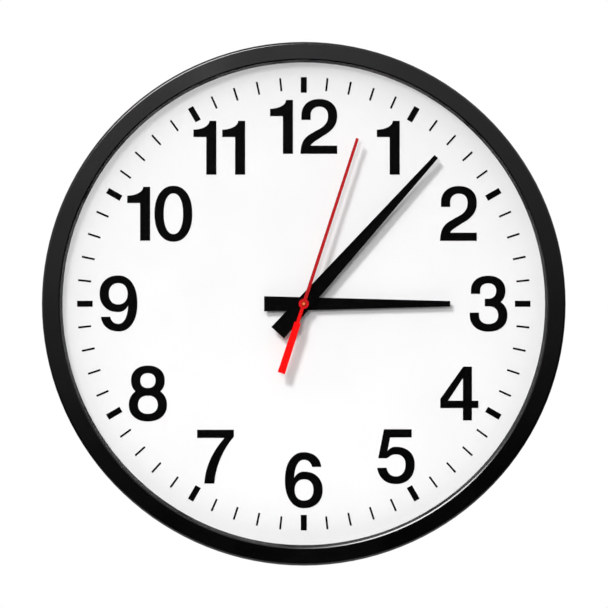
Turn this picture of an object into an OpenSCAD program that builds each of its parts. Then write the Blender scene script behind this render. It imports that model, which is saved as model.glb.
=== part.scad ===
// Synchronized wall clock: a round drum case with a plain numbered dial, three hands,
// a two-motor radio-set movement and a battery bay that opens from the back.
// The part hangs on a wall that is the plane y = 0. Its front faces -Y and +Z is up.
// The origin is where the hands' axis meets the wall.

/* [Case] */
// Diameter of the dial that shows through the front opening
view_d = 304; // [280:1:330]
// Width of the bright chamfer between the opening and the front face
chamfer_w = 1.6; // [1:0.1:2.5]
// Depth of that chamfer, front to back
chamfer_h = 2.2; // [1.5:0.1:2.6]
// Width of the narrow facet between the chamfer and the front face
facet_w = 0.8; // [0.5:0.1:1.5]
// Angle at which that facet rises from the chamfer to the crest
facet_tilt = 16; // [5:1:25]
// Width of the front face, from the chamfer to the outer edge
face_w = 11.4; // [10:0.1:14]
// How far the front face falls back from its inner edge to its outer edge
face_drop = 1; // [0.5:0.1:2.5]
// Radius that rounds the outer edge of the front face
edge_r = 1.6; // [0.8:0.1:2]
// Radius that rounds the crest between the facet and the front face
crest_r = 0.4; // [0.2:0.1:0.5]
// Wall of the drum skirt
skirt_t = 2.5; // [2:0.1:3]
// Thickness of the front lip, from the lens to the front
lip_t = 3.5; // [3:0.1:5]
// Wall of the rib that centres the lens and the dial
rib_t = 2.2; // [1.5:0.1:2.4]
// How far that rib reaches behind the dial
rib_lap = 3; // [1:0.5:6]
// Thickness of the rear case
rear_t = 3; // [2.8:0.1:4]
// Wall of the ring that carries the dial's rim
ring_t = 2; // [1.5:0.1:3]
// Gap round parts that drop into the case
fit_gap = 0.3; // [0.2:0.05:0.5]
// Number of screws that join the rear case to the front frame
case_screw_n = 6; // [3:1:10]
// Thread diameter of the case screws
case_screw_d = 2.6; // [2:0.1:2.8]
// Length of the case screws under the head
case_screw_l = 10; // [6:1:16]
// Head diameter of the case screws
case_head_d = 4.6; // [4:0.1:5]
// Head height of the case screws
case_head_h = 1.3; // [1:0.1:1.5]

/* [Lens and dial] */
// Thickness of the clear lens
lens_t = 2; // [1.5:0.1:3]
// How far the lens reaches behind the front lip
lens_lap = 4.7; // [4.2:0.1:6]
// Thickness of the seal behind the lens
seal_t = 0.5; // [0.3:0.1:1]
// Height of the spacer ring between dial and seal
spacer_h = 10.5; // [10.3:0.1:14]
// Width of the spacer ring
spacer_w = 3.5; // [2.5:0.1:4]
// Thickness of the dial sheet
dial_t = 1; // [0.5:0.1:2]
// Thickness of the dial's raised print
print_t = 0.15; // [0.1:0.05:0.3]
// Height of the numerals
numeral_h = 34; // [24:0.1:36]
// Distance from the opening's edge in to the ring that the numerals' middles stand on
numeral_in = 39.5; // [38:0.5:44]
// Gap between the two figures of 10, 11 and 12
figure_gap = 3.9; // [2:0.1:6]
// Gap between the opening's edge and the hour marks
hour_mark_gap = 8.9; // [6:0.1:10]
// Length of the hour marks
hour_mark_l = 9.8; // [5:0.1:12]
// Width of the hour marks
hour_mark_w = 3.8; // [2:0.05:5]
// Gap between the opening's edge and the minute marks
minute_mark_gap = 8.8; // [6:0.1:10]
// Length of the minute marks
minute_mark_l = 8.2; // [4:0.1:10]
// Width of the minute marks
minute_mark_w = 1.2; // [0.6:0.1:2]

/* [Hands] */
// Time on the hour hand, as degrees clockwise from 12
hour_angle = 90; // [0:1:359]
// Degrees clockwise of the minute hand
minute_angle = 42; // [0:1:359]
// Degrees clockwise of the second hand
second_angle = 18; // [0:1:359]
// Thickness of a stamped hand
hand_t = 0.8; // [0.4:0.1:1]
// Length of the hour hand from its axis
hour_l = 92.4; // [70:0.1:100]
// Length of the hour hand's tail
hour_tail = 25; // [12:0.5:30]
// Width of the hour hand at its tail
hour_w = 9.6; // [8:0.1:12]
// Width of the hour hand at its tip
hour_tip_w = 3.5; // [2:0.1:6]
// Length of the minute hand from its axis
minute_l = 125; // [100:0.1:130]
// Length of the minute hand's tail
minute_tail = 24.6; // [12:0.1:30]
// Width of the minute hand at its tail
minute_w = 10.9; // [7:0.1:12]
// Width of the minute hand at its tip
minute_tip_w = 3; // [2:0.1:6]
// Length of the second hand from its axis
second_l = 109.7; // [90:0.1:128]
// Width of the second hand's needle at its tip
second_tip_w = 1.9; // [1:0.1:2.2]
// Width of the second hand's needle at its boss
second_neck_w = 2.2; // [1.2:0.1:3]
// Distance from the axis to the near end of the second hand's counterweight
weight_start = 12.4; // [8:0.1:20]
// Distance from the axis to the far end of the counterweight
weight_end = 46; // [30:0.5:60]
// Width of the counterweight at its far end
weight_w = 4.8; // [3:0.1:6]
// Radius of the second hand's round boss
second_boss_r = 3.2; // [2.6:0.1:5]
// Gap between the dial's front and the hour hand
hour_lift = 3; // [2.6:0.1:3.2]
// Gap between one hand and the next
hand_gap = 1.7; // [1.5:0.1:1.8]

/* [Pipes and clearances] */
// Radius of the seconds arbor
arbor_r = 0.8; // [0.6:0.05:1]
// Wall of the minute pipe
minute_pipe_t = 0.75; // [0.6:0.05:0.9]
// Wall of the hour pipe
hour_pipe_t = 0.85; // [0.7:0.05:1]
// Wall of the fixed tube of the movement cover
tube_t = 0.85; // [0.7:0.05:1.1]
// Running clearance between a pipe and what turns in it
run_gap = 0.05; // [0.03:0.01:0.08]
// Radius of a gear's pivot
pivot_r = 0.5; // [0.4:0.05:0.6]

/* [Movement] */
// Gap between the minutes train and the movement's side wall
wheel_room = 0.1; // [0.1:0.1:3]
// Height of the movement above the hands' axis
move_up = 26; // [26:0.5:32]
// Height of the movement below the hands' axis
move_down = 28; // [28:0.5:31]
// Height of the posts that carry the movement
post_h = 5; // [4:0.5:8]
// Thickness of the movement's floor
floor_t = 1.5; // [1.4:0.1:2]
// Inside depth of the rear section, for the seconds train
rear_section_h = 9; // [9:0.1:11]
// Thickness of the middle plate
plate_t = 1; // [0.8:0.1:1.6]
// Inside depth of the front section, for the minutes train
front_section_h = 9.8; // [9.8:0.1:12]
// Thickness of the movement cover's top
top_t = 1.2; // [1.1:0.1:2]
// Side wall of the movement
side_t = 1.2; // [1:0.1:1.4]
// Height of the shoulder that the dial's middle rests on
shoulder_h = 2; // [1.8:0.1:3]
// Radius of that shoulder
shoulder_r = 8; // [6:0.5:14]
// Thread diameter of the movement screws
move_screw_d = 2.4; // [2:0.1:2.6]

/* [Hanger] */
// Height of the keyhole's entry above the hands' axis
hanger_up = 108; // [100:1:116]
// Thickness of the steel hanger plate
hanger_t = 1.2; // [0.8:0.1:1.4]
// Width of the hanger plate
hanger_w = 30; // [26:0.5:36]
// Height of the hanger plate
hanger_h = 36; // [36:0.5:44]
// Radius of the keyhole's entry
key_r = 4.5; // [4.2:0.1:5]
// Width of the keyhole's slot
key_slot_w = 4.6; // [3.5:0.1:5]
// Length of the slot, from the entry's middle to the top arc's middle
key_slot_l = 9; // [8:0.5:9.5]
// Depth of the pocket behind the keyhole
pocket_h = 7; // [6:0.5:12]

/* [Battery bay] */
// Distance from the hands' axis down to the bay's middle
bay_down = 60; // [59:0.5:80]
// Diameter of a cell
cell_d = 14.2; // [13.8:0.1:14.5]
// Length of a cell with its positive cap
cell_l = 50.2; // [49:0.1:50.5]
// Length of a pressed contact spring
spring_l = 5.2; // [4.5:0.1:6]
// Thickness of a contact plate
contact_t = 0.4; // [0.3:0.05:0.6]
// Wall of the bay
bay_t = 1.6; // [1.2:0.1:2]
// Thickness of the battery door
door_t = 2; // [1.6:0.1:2.2]
// Radius of the door hinge's pin
hinge_pin_r = 1; // [0.8:0.1:1.2]
// Wall of the hinge barrel round its pin
barrel_t = 1; // [0.8:0.1:1.2]
// How far the door opens, in degrees
door_open = 110; // [60:5:120]

/* [Sync button] */
// Radius of the button
button_r = 2; // [1.6:0.1:2.4]
// Travel of the button
button_travel = 0.5; // [0.3:0.1:0.6]
// Distance of the button to the right of the hands' axis
button_x = 18; // [16:0.5:20]
// Distance of the button below the hands' axis
button_down = 10; // [8:0.5:12]

/* [Hidden] */
$fn = 72;

// Colours as the finished clock shows them
ABS_BLACK = "#1c1c1c";
DIAL_WHITE = "#f7f7f5";
PRINT_BLACK = "#0b0b0b";
HAND_RED = "#e0141a";
MOULD_GREY = "#8d9195";
MOULD_WHITE = "#e9e7e0";
STEEL = "#b9bdc1";
BRASS = "#c9a24a";
COPPER = "#b4622d";
BOARD_GREEN = "#1f6b3a";

// Depths, measured from the wall towards the viewer
move_z = rear_t + post_h;
floor_z = move_z + floor_t;
plate_z = floor_z + rear_section_h;
front_z = plate_z + plate_t;
top_z = front_z + front_section_h;
cover_z = top_z + top_t;
dial_z = cover_z + shoulder_h;
face_z = dial_z + dial_t;
seal_z = face_z + spacer_h;
lens_z = seal_z + seal_t;
lip_z = lens_z + lens_t;
case_depth = lip_z + lip_t;
hour_z = face_z + hour_lift;
minute_z = hour_z + hand_t + hand_gap;
second_z = minute_z + hand_t + hand_gap;
arbor_end_z = second_z + hand_t + 0.9;

// Radii of the case
view_r = view_d / 2;
face_in_r = view_r + chamfer_w;
case_r = face_in_r + face_w;
skirt_in_r = case_r - skirt_t;
lens_r = view_r + lens_lap;
rib_in_r = lens_r + fit_gap;
ring_out_r = lens_r - fit_gap;
boss_bite = 0.1;
boss_r = (skirt_in_r - rib_in_r) / 2 + boss_bite;
boss_at_r = (skirt_in_r + rib_in_r) / 2 + 2 * boss_bite;
head_gap = 0.2;
thread_gap = 0.02;

// Radii of the nested pipes on the hands' axis
minute_pipe_in = arbor_r + run_gap;
minute_pipe_out = minute_pipe_in + minute_pipe_t;
hour_pipe_in = minute_pipe_out + run_gap;
hour_pipe_out = hour_pipe_in + hour_pipe_t;
tube_in = hour_pipe_out + run_gap;
tube_out = tube_in + tube_t;
dial_hole_r = tube_out + 0.2;

// Turns local drawing (x right, y up, z towards the viewer) into the part's frame
module on_wall() {
  rotate([90, 0, 0])
    children();
}

// A round solid between two depths
module disc(r, z0, z1) {
  translate([0, 0, z0])
    cylinder(r = r, h = z1 - z0);
}

// A round tube between two depths
module tube(r_in, r_out, z0, z1) {
  difference() {
    disc(r_out, z0, z1);
    disc(r_in, z0 - 1, z1 + 1);
  }
}

// A box given by its lowest and highest corners
module box(low, high) {
  translate(low)
    cube(high - low);
}

// A flat plate with round corners, drawn about its middle
module round_plate(size, r) {
  square([size[0] - 2 * r, size[1]], center = true);
  square([size[0], size[1] - 2 * r], center = true);
  for (sx = [-1, 1], sy = [-1, 1])
    translate([sx * (size[0] / 2 - r), sy * (size[1] / 2 - r)])
      circle(r);
}

// Points of an arc, used in turned outlines
function arc(c, r, a0, a1, n = 8) =
  [for (i = [0 : n]) let (a = a0 + (a1 - a0) * i / n) c + r * [cos(a), sin(a)]];

// Places of the case screws, between the hours
function screw_angle(i) = 360 * (i + 0.5) / case_screw_n;

module at_case_screws() {
  for (i = [0 : case_screw_n - 1])
    rotate([0, 0, screw_angle(i)])
      translate([boss_at_r, 0, 0])
        children();
}

// Outline of the front frame: skirt, falling face, crest, facet, chamfer, lip and centring rib
module front_outline() {
  slope = atan(face_drop / (face_w - facet_w));
  shelf_z = lip_z - 0.5;
  crest = [face_in_r + facet_w, case_depth - crest_r];
  face_start = crest + crest_r * [sin(slope), cos(slope)];
  facet_end = crest + crest_r * [-sin(facet_tilt), cos(facet_tilt)];
  facet_low = facet_end[1] - (facet_end[0] - face_in_r) * tan(facet_tilt);
  edge_x = case_r - edge_r;
  edge_top = face_start[1] - (edge_x - face_start[0]) * tan(slope);
  edge_mid = [edge_x, edge_top - edge_r / cos(slope)];
  polygon(concat(
    [[case_r, 0]],
    arc(edge_mid, edge_r, 0, 90 - slope),
    arc(crest, crest_r, 90 - slope, 90 + facet_tilt),
    [
      [face_in_r, facet_low],
      [view_r, facet_low - chamfer_h],
      [view_r, lip_z],
      [rib_in_r, lip_z],
      [rib_in_r, dial_z - rib_lap],
      [rib_in_r + rib_t, dial_z - rib_lap],
      [rib_in_r + rib_t, shelf_z],
      [skirt_in_r, shelf_z],
      [skirt_in_r, 0]
    ]
  ));
}

// One-piece moulded drum: the skirt, the front face and the screw bosses
module front_frame() {
  color(ABS_BLACK)
    on_wall()
      difference() {
        union() {
          rotate_extrude($fn = 180)
            front_outline();
          at_case_screws()
            disc(boss_r, rear_t, lip_z - 0.4);
        }
        at_case_screws()
          disc(case_screw_d / 2 + thread_gap, rear_t - 1, rear_t + case_screw_l + 1);
      }
}

// Clear front lens, held behind the lip
module lens() {
  color("#dfe9ee", 0.25)
    on_wall()
      disc(lens_r, lens_z, lip_z, $fn = 180);
}

// Soft seal between the spacer and the lens
module lens_seal() {
  color(PRINT_BLACK)
    on_wall()
      tube(lens_r - spacer_w + 0.4, lens_r, seal_z, lens_z, $fn = 180);
}

// Ring that keeps the lens clear of the hands
module dial_spacer() {
  color(ABS_BLACK)
    on_wall()
      tube(lens_r - spacer_w, lens_r, face_z, seal_z, $fn = 180);
}

// Painted sheet with a hole for the hand pipes
module dial() {
  color(DIAL_WHITE)
    on_wall()
      tube(dial_hole_r, lens_r, dial_z, face_z, $fn = 180);
}

module print_layer() {
  on_wall()
    translate([0, 0, face_z])
      linear_extrude(print_t)
        children();
}

// A bar of the minute track, clockwise from 12, that reaches in from radius r
module mark(angle, r, l, w) {
  rotate(-angle)
    translate([-w / 2, r - l])
      square([w, l]);
}

module dial_hour_marks() {
  color(PRINT_BLACK)
    print_layer()
      for (hour = [0 : 11])
        mark(30 * hour, view_r - hour_mark_gap, hour_mark_l, hour_mark_w);
}

module dial_minute_marks() {
  color(PRINT_BLACK)
    print_layer()
      for (minute = [0 : 59])
        if (minute % 5 != 0)
          mark(6 * minute, view_r - minute_mark_gap, minute_mark_l, minute_mark_w);
}

// Numerals. Each figure is drawn with its baseline at 0 and its cap height at 100 units,
// and the finished row of figures is scaled to numeral_h.
STROKE = 17.2;
THIN = 14.2;
ROUNDNESS = 2.2;
BOWL_STEPS = 10;

function bend(v) = sign(v) * pow(abs(v), 2 / ROUNDNESS);

// Points on a slightly squared oval about c, with its own height above and below c
function oval(c, rx, up, down, a0, a1, n) = [
  for (i = [0 : n])
    let (a = a0 + (a1 - a0) * i / n)
      c + [rx * bend(cos(a)), (sin(a) > 0 ? up : down) * bend(sin(a))]
];

// Curved stroke of a figure: heavy at its sides and thin at its top and bottom
module bowl(c, rx, up, down, a0 = 0, a1 = 360) {
  n = ceil(abs(a1 - a0) / 90) * BOWL_STEPS;
  outer = oval(c, rx, up, down, a0, a1, n);
  inner = oval(c, rx - STROKE, up - THIN, down - THIN, a1, a0, n);
  if (abs(a1 - a0) == 360)
    difference() {
      polygon([for (i = [0 : n - 1]) outer[i]]);
      polygon([for (i = [0 : n - 1]) inner[i]]);
    }
  else
    polygon(concat(outer, inner));
}

// Points of a curve from p to s that leaves towards q and arrives from r
function curve(p, q, r, s, n = 10) = [
  for (i = [0 : n])
    let (t = i / n, u = 1 - t)
      u * u * u * p + 3 * u * u * t * q + 3 * u * t * t * r + t * t * t * s
];

module bar(x0, y0, x1, y1) {
  translate([x0, y0])
    square([x1 - x0, y1 - y0]);
}

module figure_0() {
  bowl([35.2, 50], 35.2, 52, 52);
}

module figure_1() {
  flag = [for (i = [0 : BOWL_STEPS]) let (a = 90 * i / BOWL_STEPS) [29.7 * cos(a), 100 - 16.3 * sin(a)]];
  polygon(concat([[42.6, 0], [42.6, 100]], flag, [[0, 69.9], [23.9, 69.9], [23.9, 0]]));
}

module figure_2() {
  c = [35.1, 71.2];
  polygon(concat(
    [[1.8, 63]],
    oval(c, 33.3, 30.6, 30.6, 180, 0, 2 * BOWL_STEPS),
    curve([68.4, 69], [68.4, 51], [55, 40], [41, 32.5]),
    curve([36, 29], [24, 22], [19.7, 17.6], [19, 15.2]),
    [[68.4, 15.2], [68.4, 0]],
    curve([0, 0], [0.5, 28], [13.6, 34.4], [23.6, 39.6]),
    curve([27.4, 42.2], [43.2, 49.4], [68.4 - STROKE, 56.4], [68.4 - STROKE, 70]),
    oval(c, 33.3 - STROKE, 30.6 - THIN, 30.6 - THIN, 0, 180, 2 * BOWL_STEPS),
    [[1.8 + STROKE, 63]]
  ));
}

module figure_3() {
  bowl([34.2, 74], 32.1, 27.9, 29, -90, 180);
  bar(2.1, 68, 2.1 + STROKE, 77);
  bar(27.8, 45, 40, 45 + THIN);
  bowl([35, 28.4], 35, 16.6 + THIN, 30.5, -180, 90);
  bar(0, 25, STROKE, 33.3);
}

module figure_4() {
  difference() {
    polygon([
      [0, 22.9], [0, 40], [42.6, 100], [58.8, 100], [58.8, 36.6], [70.8, 36.6],
      [70.8, 22.9], [58.8, 22.9], [58.8, 0], [42, 0], [42, 22.9]
    ]);
    polygon([[42, 78.6], [42, 36.6], [14.4, 36.6]]);
  }
}

module figure_5() {
  c = [35.1, 34.8];
  polygon(concat(
    [[24.4, 84.8], [64.5, 84.8], [64.5, 100], [12.9, 100], [2.2, 46], [18.4, 46]],
    oval(c, 35.1 - STROKE, 32.7 - THIN, 36.6 - THIN, 135, -165.8, 3 * BOWL_STEPS),
    oval(c, 35.1, 32.7, 36.6, -171.6, 89, 3 * BOWL_STEPS),
    curve([34.7, 67.5], [28, 67.5], [23, 64], [19.6, 59.6])
  ));
}

// An arch over a round lobe: the arch ends level on the right, and meets the lobe on the left
module figure_6() {
  left = [35, 50];
  right = [35, 70];
  lobe = [35.6, 32];
  difference() {
    polygon(concat(
      oval(left, 35, 52, 52, 90, 269, 4 * BOWL_STEPS),
      oval(lobe, 34.6, 34, 34, -90, 90, 4 * BOWL_STEPS),
      oval(lobe, 23, 34, 34, 93, 141.5, BOWL_STEPS),
      oval(left, 35 - STROKE, 52 - THIN, 52 - THIN, 174, 90, BOWL_STEPS),
      oval(right, 33 - STROKE, 32 - THIN, 32 - THIN, 87, 13, BOWL_STEPS),
      oval(right, 33, 32, 32, 7, 87, BOWL_STEPS)
    ));
    polygon(oval(lobe, 34.6 - STROKE, 34 - THIN, 34 - THIN, 0, 360 - 90 / BOWL_STEPS, 4 * BOWL_STEPS - 1));
  }
}

module figure_7() {
  polygon(concat(
    [[0, 84.8], [0, 100], [68.4, 100]],
    curve([68.4, 87], [51.3, 68], [34.5, 35], [32, 0]),
    curve([13.4, 0], [15.4, 36], [32.2, 63.6], [50.8, 84.8])
  ));
}

module figure_8() {
  bowl([35.5, 74.2], 31.4, 27.8, 28.4);
  bowl([35.5, 28.8], 35.5, 31.6, 30.8);
}

module figure_9() {
  translate([70.2, 100])
    rotate(180)
      figure_6();
}

module figure(n) {
  if (n == 0) figure_0();
  if (n == 1) figure_1();
  if (n == 2) figure_2();
  if (n == 3) figure_3();
  if (n == 4) figure_4();
  if (n == 5) figure_5();
  if (n == 6) figure_6();
  if (n == 7) figure_7();
  if (n == 8) figure_8();
  if (n == 9) figure_9();
}

// Widths of the figures 0 to 9 in the same units
FIGURE_W = [70.4, 42.6, 68.4, 70, 70.8, 70.2, 70.2, 68.4, 71, 70.2];

// Small optical moves of the numerals 12, 1, 2 and so on, right and up
NUMERAL_SHIFT = [
  [-0.1, -0.8], [-2.9, 1.1], [0.2, 0.5], [4.2, 0.1], [0.8, -0.4], [1.9, 1.2],
  [0, 1.1], [0.5, 0.9], [-1, -0.4], [-4.5, 0.2], [6.5, 0.6], [2.9, 1.1]
];

// What the gap between the two figures of 10, 11 and 12 has more than figure_gap
PAIR_GAP = [-1.2, -0.2, 0.8];

// One number of one or two figures, centred on its own middle
module numeral(value) {
  unit = numeral_h / 100;
  tens = floor(value / 10);
  ones = value % 10;
  lead = tens > 0 ? FIGURE_W[tens] + (figure_gap + PAIR_GAP[ones]) / unit : 0;
  scale(unit)
    translate([-(lead + FIGURE_W[ones]) / 2, -50]) {
      if (tens > 0)
        figure(tens);
      translate([lead, 0])
        figure(ones);
    }
}

module dial_numerals() {
  color(PRINT_BLACK)
    print_layer()
      for (hour = [0 : 11])
        translate((view_r - numeral_in) * [sin(30 * hour), cos(30 * hour)] + NUMERAL_SHIFT[hour])
          numeral(hour == 0 ? 12 : hour);
}

// Hanger: a steel plate with a keyhole, let into the rear case over a blind pocket
plate_back = fit_gap;
hanger_mid = hanger_up + key_slot_l / 2;
rivet_r = 1.5;
rivet_head_r = 2.4;
rivet_head_h = 0.9;
rivet_x = hanger_w / 2 - 3.6;
pocket_wall = 1.6;
pocket_w = 2 * key_r + 5;
pocket_low = hanger_up - key_r - 1.6;
pocket_high = hanger_up + key_slot_l + key_slot_w / 2 + 2.4;

module at_rivets() {
  for (sx = [-1, 1])
    translate([sx * rivet_x, hanger_mid, 0])
      children();
}

module hanger_plate() {
  color(STEEL)
    on_wall()
      difference() {
        translate([0, hanger_mid, plate_back])
          linear_extrude(hanger_t)
            round_plate([hanger_w, hanger_h], 2);
        translate([0, hanger_up, 0])
          disc(key_r, -1, rear_t);
        translate([0, hanger_up + key_slot_l, 0])
          disc(key_slot_w / 2, -1, rear_t);
        box([-key_slot_w / 2, hanger_up, -1], [key_slot_w / 2, hanger_up + key_slot_l, rear_t]);
        at_rivets()
          rivet_shape(run_gap / 2);
      }
}

// Flush-headed rivet that closes over the inside of the rear case
module rivet_shape(extra) {
  translate([0, 0, plate_back])
    cylinder(r1 = rivet_head_r + extra, r2 = rivet_r + extra, h = rivet_head_h);
  disc(rivet_r + extra, plate_back, rear_t);
}

module hanger_rivets() {
  color(STEEL)
    on_wall()
      at_rivets() {
        rivet_shape(0);
        disc(rivet_head_r, rear_t, rear_t + 1);
      }
}

// Battery bay: two cells side by side behind a hinged door
bay_in_w = cell_l + spring_l + 2 * contact_t + 0.6;
bay_in_h = 2 * cell_d + 3 * fit_gap;
bay_in_z = door_t + fit_gap + cell_d + 2 * fit_gap;
bay_y = -bay_down;
cell_z = door_t + 2 * fit_gap + cell_d / 2;
cell_pitch = cell_d + fit_gap;
door_w = bay_in_w + 4;
door_h = bay_in_h + 5.6;
barrel_r = hinge_pin_r + barrel_t;
hinge_y = bay_y - door_h / 2;
hinge_z = barrel_r + 0.1;
barrel_l = door_w - 14;
ear_l = 5;
pin_l = barrel_l + 2 * ear_l;
latch_h = 2;
latch_t = 1.4;
// Room round the hinge for the door's corners and for the panel behind the barrel
corner_room = 1.3;
slot_room = 1;

// One cell with its small positive cap, drawn along +x and centred
module cell(wrap) {
  cap_l = 1.4;
  rotate([0, 90, 0]) {
    color(wrap)
      disc(cell_d / 2, -cell_l / 2, cell_l / 2 - cap_l);
    color(STEEL)
      disc(2.7, cell_l / 2 - cap_l, cell_l / 2);
  }
}

// Places a cell in its row; the first one's cap points right and the second one's left
module in_row(row) {
  side = row == 1 ? 1 : -1;
  on_wall()
    translate([side * (bay_in_w / 2 - contact_t - 0.3 - cell_l / 2), bay_y + side * cell_pitch / 2, cell_z])
      rotate([0, 0, row == 1 ? 0 : 180])
        children();
}

module battery_cell_1() {
  in_row(1)
    cell("#3f4348");
}

module battery_cell_2() {
  in_row(2)
    cell("#3f4348");
}

// Steel wire spring as one swept tube, drawn along +x from 0 to l
spring_turns = 4;
spring_sides = 6;
spring_steps = 16;
spring_wire_r = 0.4;

module wire_spring(l, r_start, r_end) {
  n = spring_turns * spring_steps;
  pitch_l = l - 2 * spring_wire_r;
  function r_at(t) = r_start + (r_end - r_start) * t;
  rings = [
    for (i = [0 : n])
      let (t = i / n, a = 360 * spring_turns * t)
        for (k = [0 : spring_sides - 1])
          let (b = 360 * k / spring_sides, r = r_at(t) + spring_wire_r * cos(b))
            [spring_wire_r + pitch_l * t + spring_wire_r * sin(b), r * cos(a), r * sin(a)]
  ];
  sides = [
    for (i = [0 : n - 1], k = [0 : spring_sides - 1])
      let (a = i * spring_sides + k, b = i * spring_sides + (k + 1) % spring_sides)
        each [[a, a + spring_sides, b], [b, a + spring_sides, b + spring_sides]]
  ];
  ends = [
    [for (k = [0 : spring_sides - 1]) k],
    [for (k = [spring_sides - 1 : -1 : 0]) n * spring_sides + k]
  ];
  polyhedron(rings, concat(sides, ends));
}

module battery_springs() {
  color(STEEL)
    for (row = [1, 2])
      in_row(row)
        translate([-cell_l / 2 - spring_l + 0.25, 0, 0])
          wire_spring(spring_l - 0.3, 4.6, 2.6);
}

// Contact plates at both ends of the bay, with solder tags through the right wall
tag_w = 3;
tag_l = 2.4;
contact_low = door_t + 2 * fit_gap;
contact_high = door_t + 2 * fit_gap + cell_d;

module battery_contacts() {
  color(STEEL)
    on_wall()
      for (side = [-1, 1])
        mirror([side > 0 ? 0 : 1, 0, 0])
          union() {
            for (row = side > 0 ? [-1, 1] : [0])
              translate([bay_in_w / 2 - contact_t, bay_y + row * cell_pitch / 2, 0]) {
                h = side > 0 ? cell_d - 1 : 2 * cell_d - 1;
                box([0, -h / 2, contact_low], [contact_t, h / 2, contact_high]);
                if (side > 0)
                  box([0, -tag_w / 2, cell_z - contact_t], [contact_t + bay_t + tag_l, tag_w / 2, cell_z]);
              }
          }
}

wire_r = 0.6;
board_z = floor_z + 2.5;
board_t = 1.2;
wire_floor_z = board_z + board_t + wire_r;
tag_x = bay_in_w / 2 + bay_t + tag_l;

// Wire swept along its route, with one ring of points at each bend
wire_sides = 8;

module wire(route, r) {
  last = len(route) - 1;
  function unit(v) = v / norm(v);
  function leaving(i) = i < last ? unit(route[i + 1] - route[i]) : [0, 0, 0];
  function arriving(i) = i > 0 ? unit(route[i] - route[i - 1]) : [0, 0, 0];
  function along(i) = unit(leaving(i) + arriving(i));
  rings = [
    for (i = [0 : last])
      let (t = along(i), across = unit(cross(t, [0, 0, 1])), over = cross(across, t))
        for (k = [0 : wire_sides - 1])
          let (a = 360 * (k + 0.5) / wire_sides)
            route[i] + r * (across * cos(a) + over * sin(a))
  ];
  sides = [
    for (i = [0 : last - 1], k = [0 : wire_sides - 1])
      let (a = i * wire_sides + k, b = i * wire_sides + (k + 1) % wire_sides)
        each [[a, b, a + wire_sides], [b, b + wire_sides, a + wire_sides]]
  ];
  ends = [
    [for (k = [wire_sides - 1 : -1 : 0]) k],
    [for (k = [0 : wire_sides - 1]) last * wire_sides + k]
  ];
  polyhedron(rings, concat(sides, ends));
}

lead_near_x = 13;
lead_far_x = 17;
board_low = -20;
lead_end_y = board_low + 3;

module lead(tag_y, rise_x, in_x, turn_y, r) {
  wire([
    [tag_x - 1, tag_y, cell_z + r],
    [rise_x, tag_y, cell_z + r],
    [rise_x, turn_y - 3, wire_floor_z],
    [in_x, turn_y, wire_floor_z],
    [in_x, lead_end_y, wire_floor_z]
  ], r);
}

module battery_leads() {
  color("#a3221f")
    on_wall()
      lead(bay_y + cell_pitch / 2, tag_x + 1, lead_near_x, -move_down - 6, wire_r);
  color("#17181a")
    on_wall()
      lead(bay_y - cell_pitch / 2, tag_x + 4, lead_far_x, -move_down - 4, wire_r);
}

// Door, its barrel and the latch tongue that slips behind the case edge
door_top = bay_y + door_h / 2;

module battery_door() {
  color(ABS_BLACK)
    on_wall()
      difference() {
        union() {
          box([-door_w / 2 + fit_gap, hinge_y, fit_gap],
            [door_w / 2 - fit_gap, door_top - 2 * fit_gap, door_t]);
          translate([0, hinge_y, hinge_z])
            rotate([0, 90, 0])
              disc(barrel_r, -barrel_l / 2, barrel_l / 2);
          for (sx = [-1, 1])
            translate([sx * door_w / 4, door_top - 2 * fit_gap - 2.6 - latch_t, 0])
              box([-4, 0, door_t - 0.5], [4, latch_t, door_t + latch_h]);
        }
        for (side = [0, 1])
          mirror([side, 0, 0])
            box([barrel_l / 2, hinge_y - barrel_r - 1, -1],
              [door_w / 2 + 1, hinge_y + barrel_r + corner_room, rear_t + 4]);
        translate([0, hinge_y, hinge_z])
          rotate([0, 90, 0])
            disc(hinge_pin_r + run_gap, -barrel_l, barrel_l);
        for (i = [0 : 5])
          box([-8, door_top - 10 - 1.6 * i, fit_gap - 1], [8, door_top - 9.3 - 1.6 * i, fit_gap + 0.4]);
      }
}

module door_hinge_pin() {
  color(STEEL)
    on_wall()
      translate([0, hinge_y, hinge_z])
        rotate([0, 90, 0])
          disc(hinge_pin_r, -pin_l / 2, pin_l / 2);
}

// Gear sizes: module of each mesh, then the numbers of teeth
fine_m = 0.3;
mid_m = 0.35;
train_m = 0.4;
cannon_m = 0.55;
pinion_n = 10;
idler_n = 60;
seconds_n = 50;
third_n = 50;
centre_n = 60;
cannon_n = 12;
motion_n = 36;
motion_pinion_n = 12;
hour_n = 48;

// Distances between meshing arbors
idler_reach = fine_m * (pinion_n + idler_n) / 2;
seconds_reach = train_m * (pinion_n + seconds_n) / 2;
third_reach = mid_m * (pinion_n + third_n) / 2;
centre_reach = train_m * (pinion_n + centre_n) / 2;
motion_reach = cannon_m * (cannon_n + motion_n) / 2;
hour_m = 2 * motion_reach / (motion_pinion_n + hour_n);

// Directions of the trains, in degrees from +x, and the arbors they lead to
seconds_dir = 205;
seconds_rotor_dir = 160;
third_dir = 20;
minutes_idler_dir = -10;
minutes_rotor_dir = -80;
motion_dir = 110;

function polar(r, a) = r * [cos(a), sin(a)];

seconds_idler_at = polar(seconds_reach, seconds_dir);
seconds_rotor_at = seconds_idler_at + polar(idler_reach, seconds_rotor_dir);
third_at = polar(centre_reach, third_dir);
minutes_idler_at = third_at + polar(third_reach, minutes_idler_dir);
minutes_rotor_at = minutes_idler_at + polar(idler_reach, minutes_rotor_dir);
motion_at = polar(motion_reach, motion_dir);

// Radius of the idlers' tips; the movement is as wide as the minutes train needs
idler_tip_r = fine_m * (idler_n / 2 + 0.7);
move_w = 2 * (minutes_idler_at[0] + idler_tip_r + wheel_room + side_t);

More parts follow.
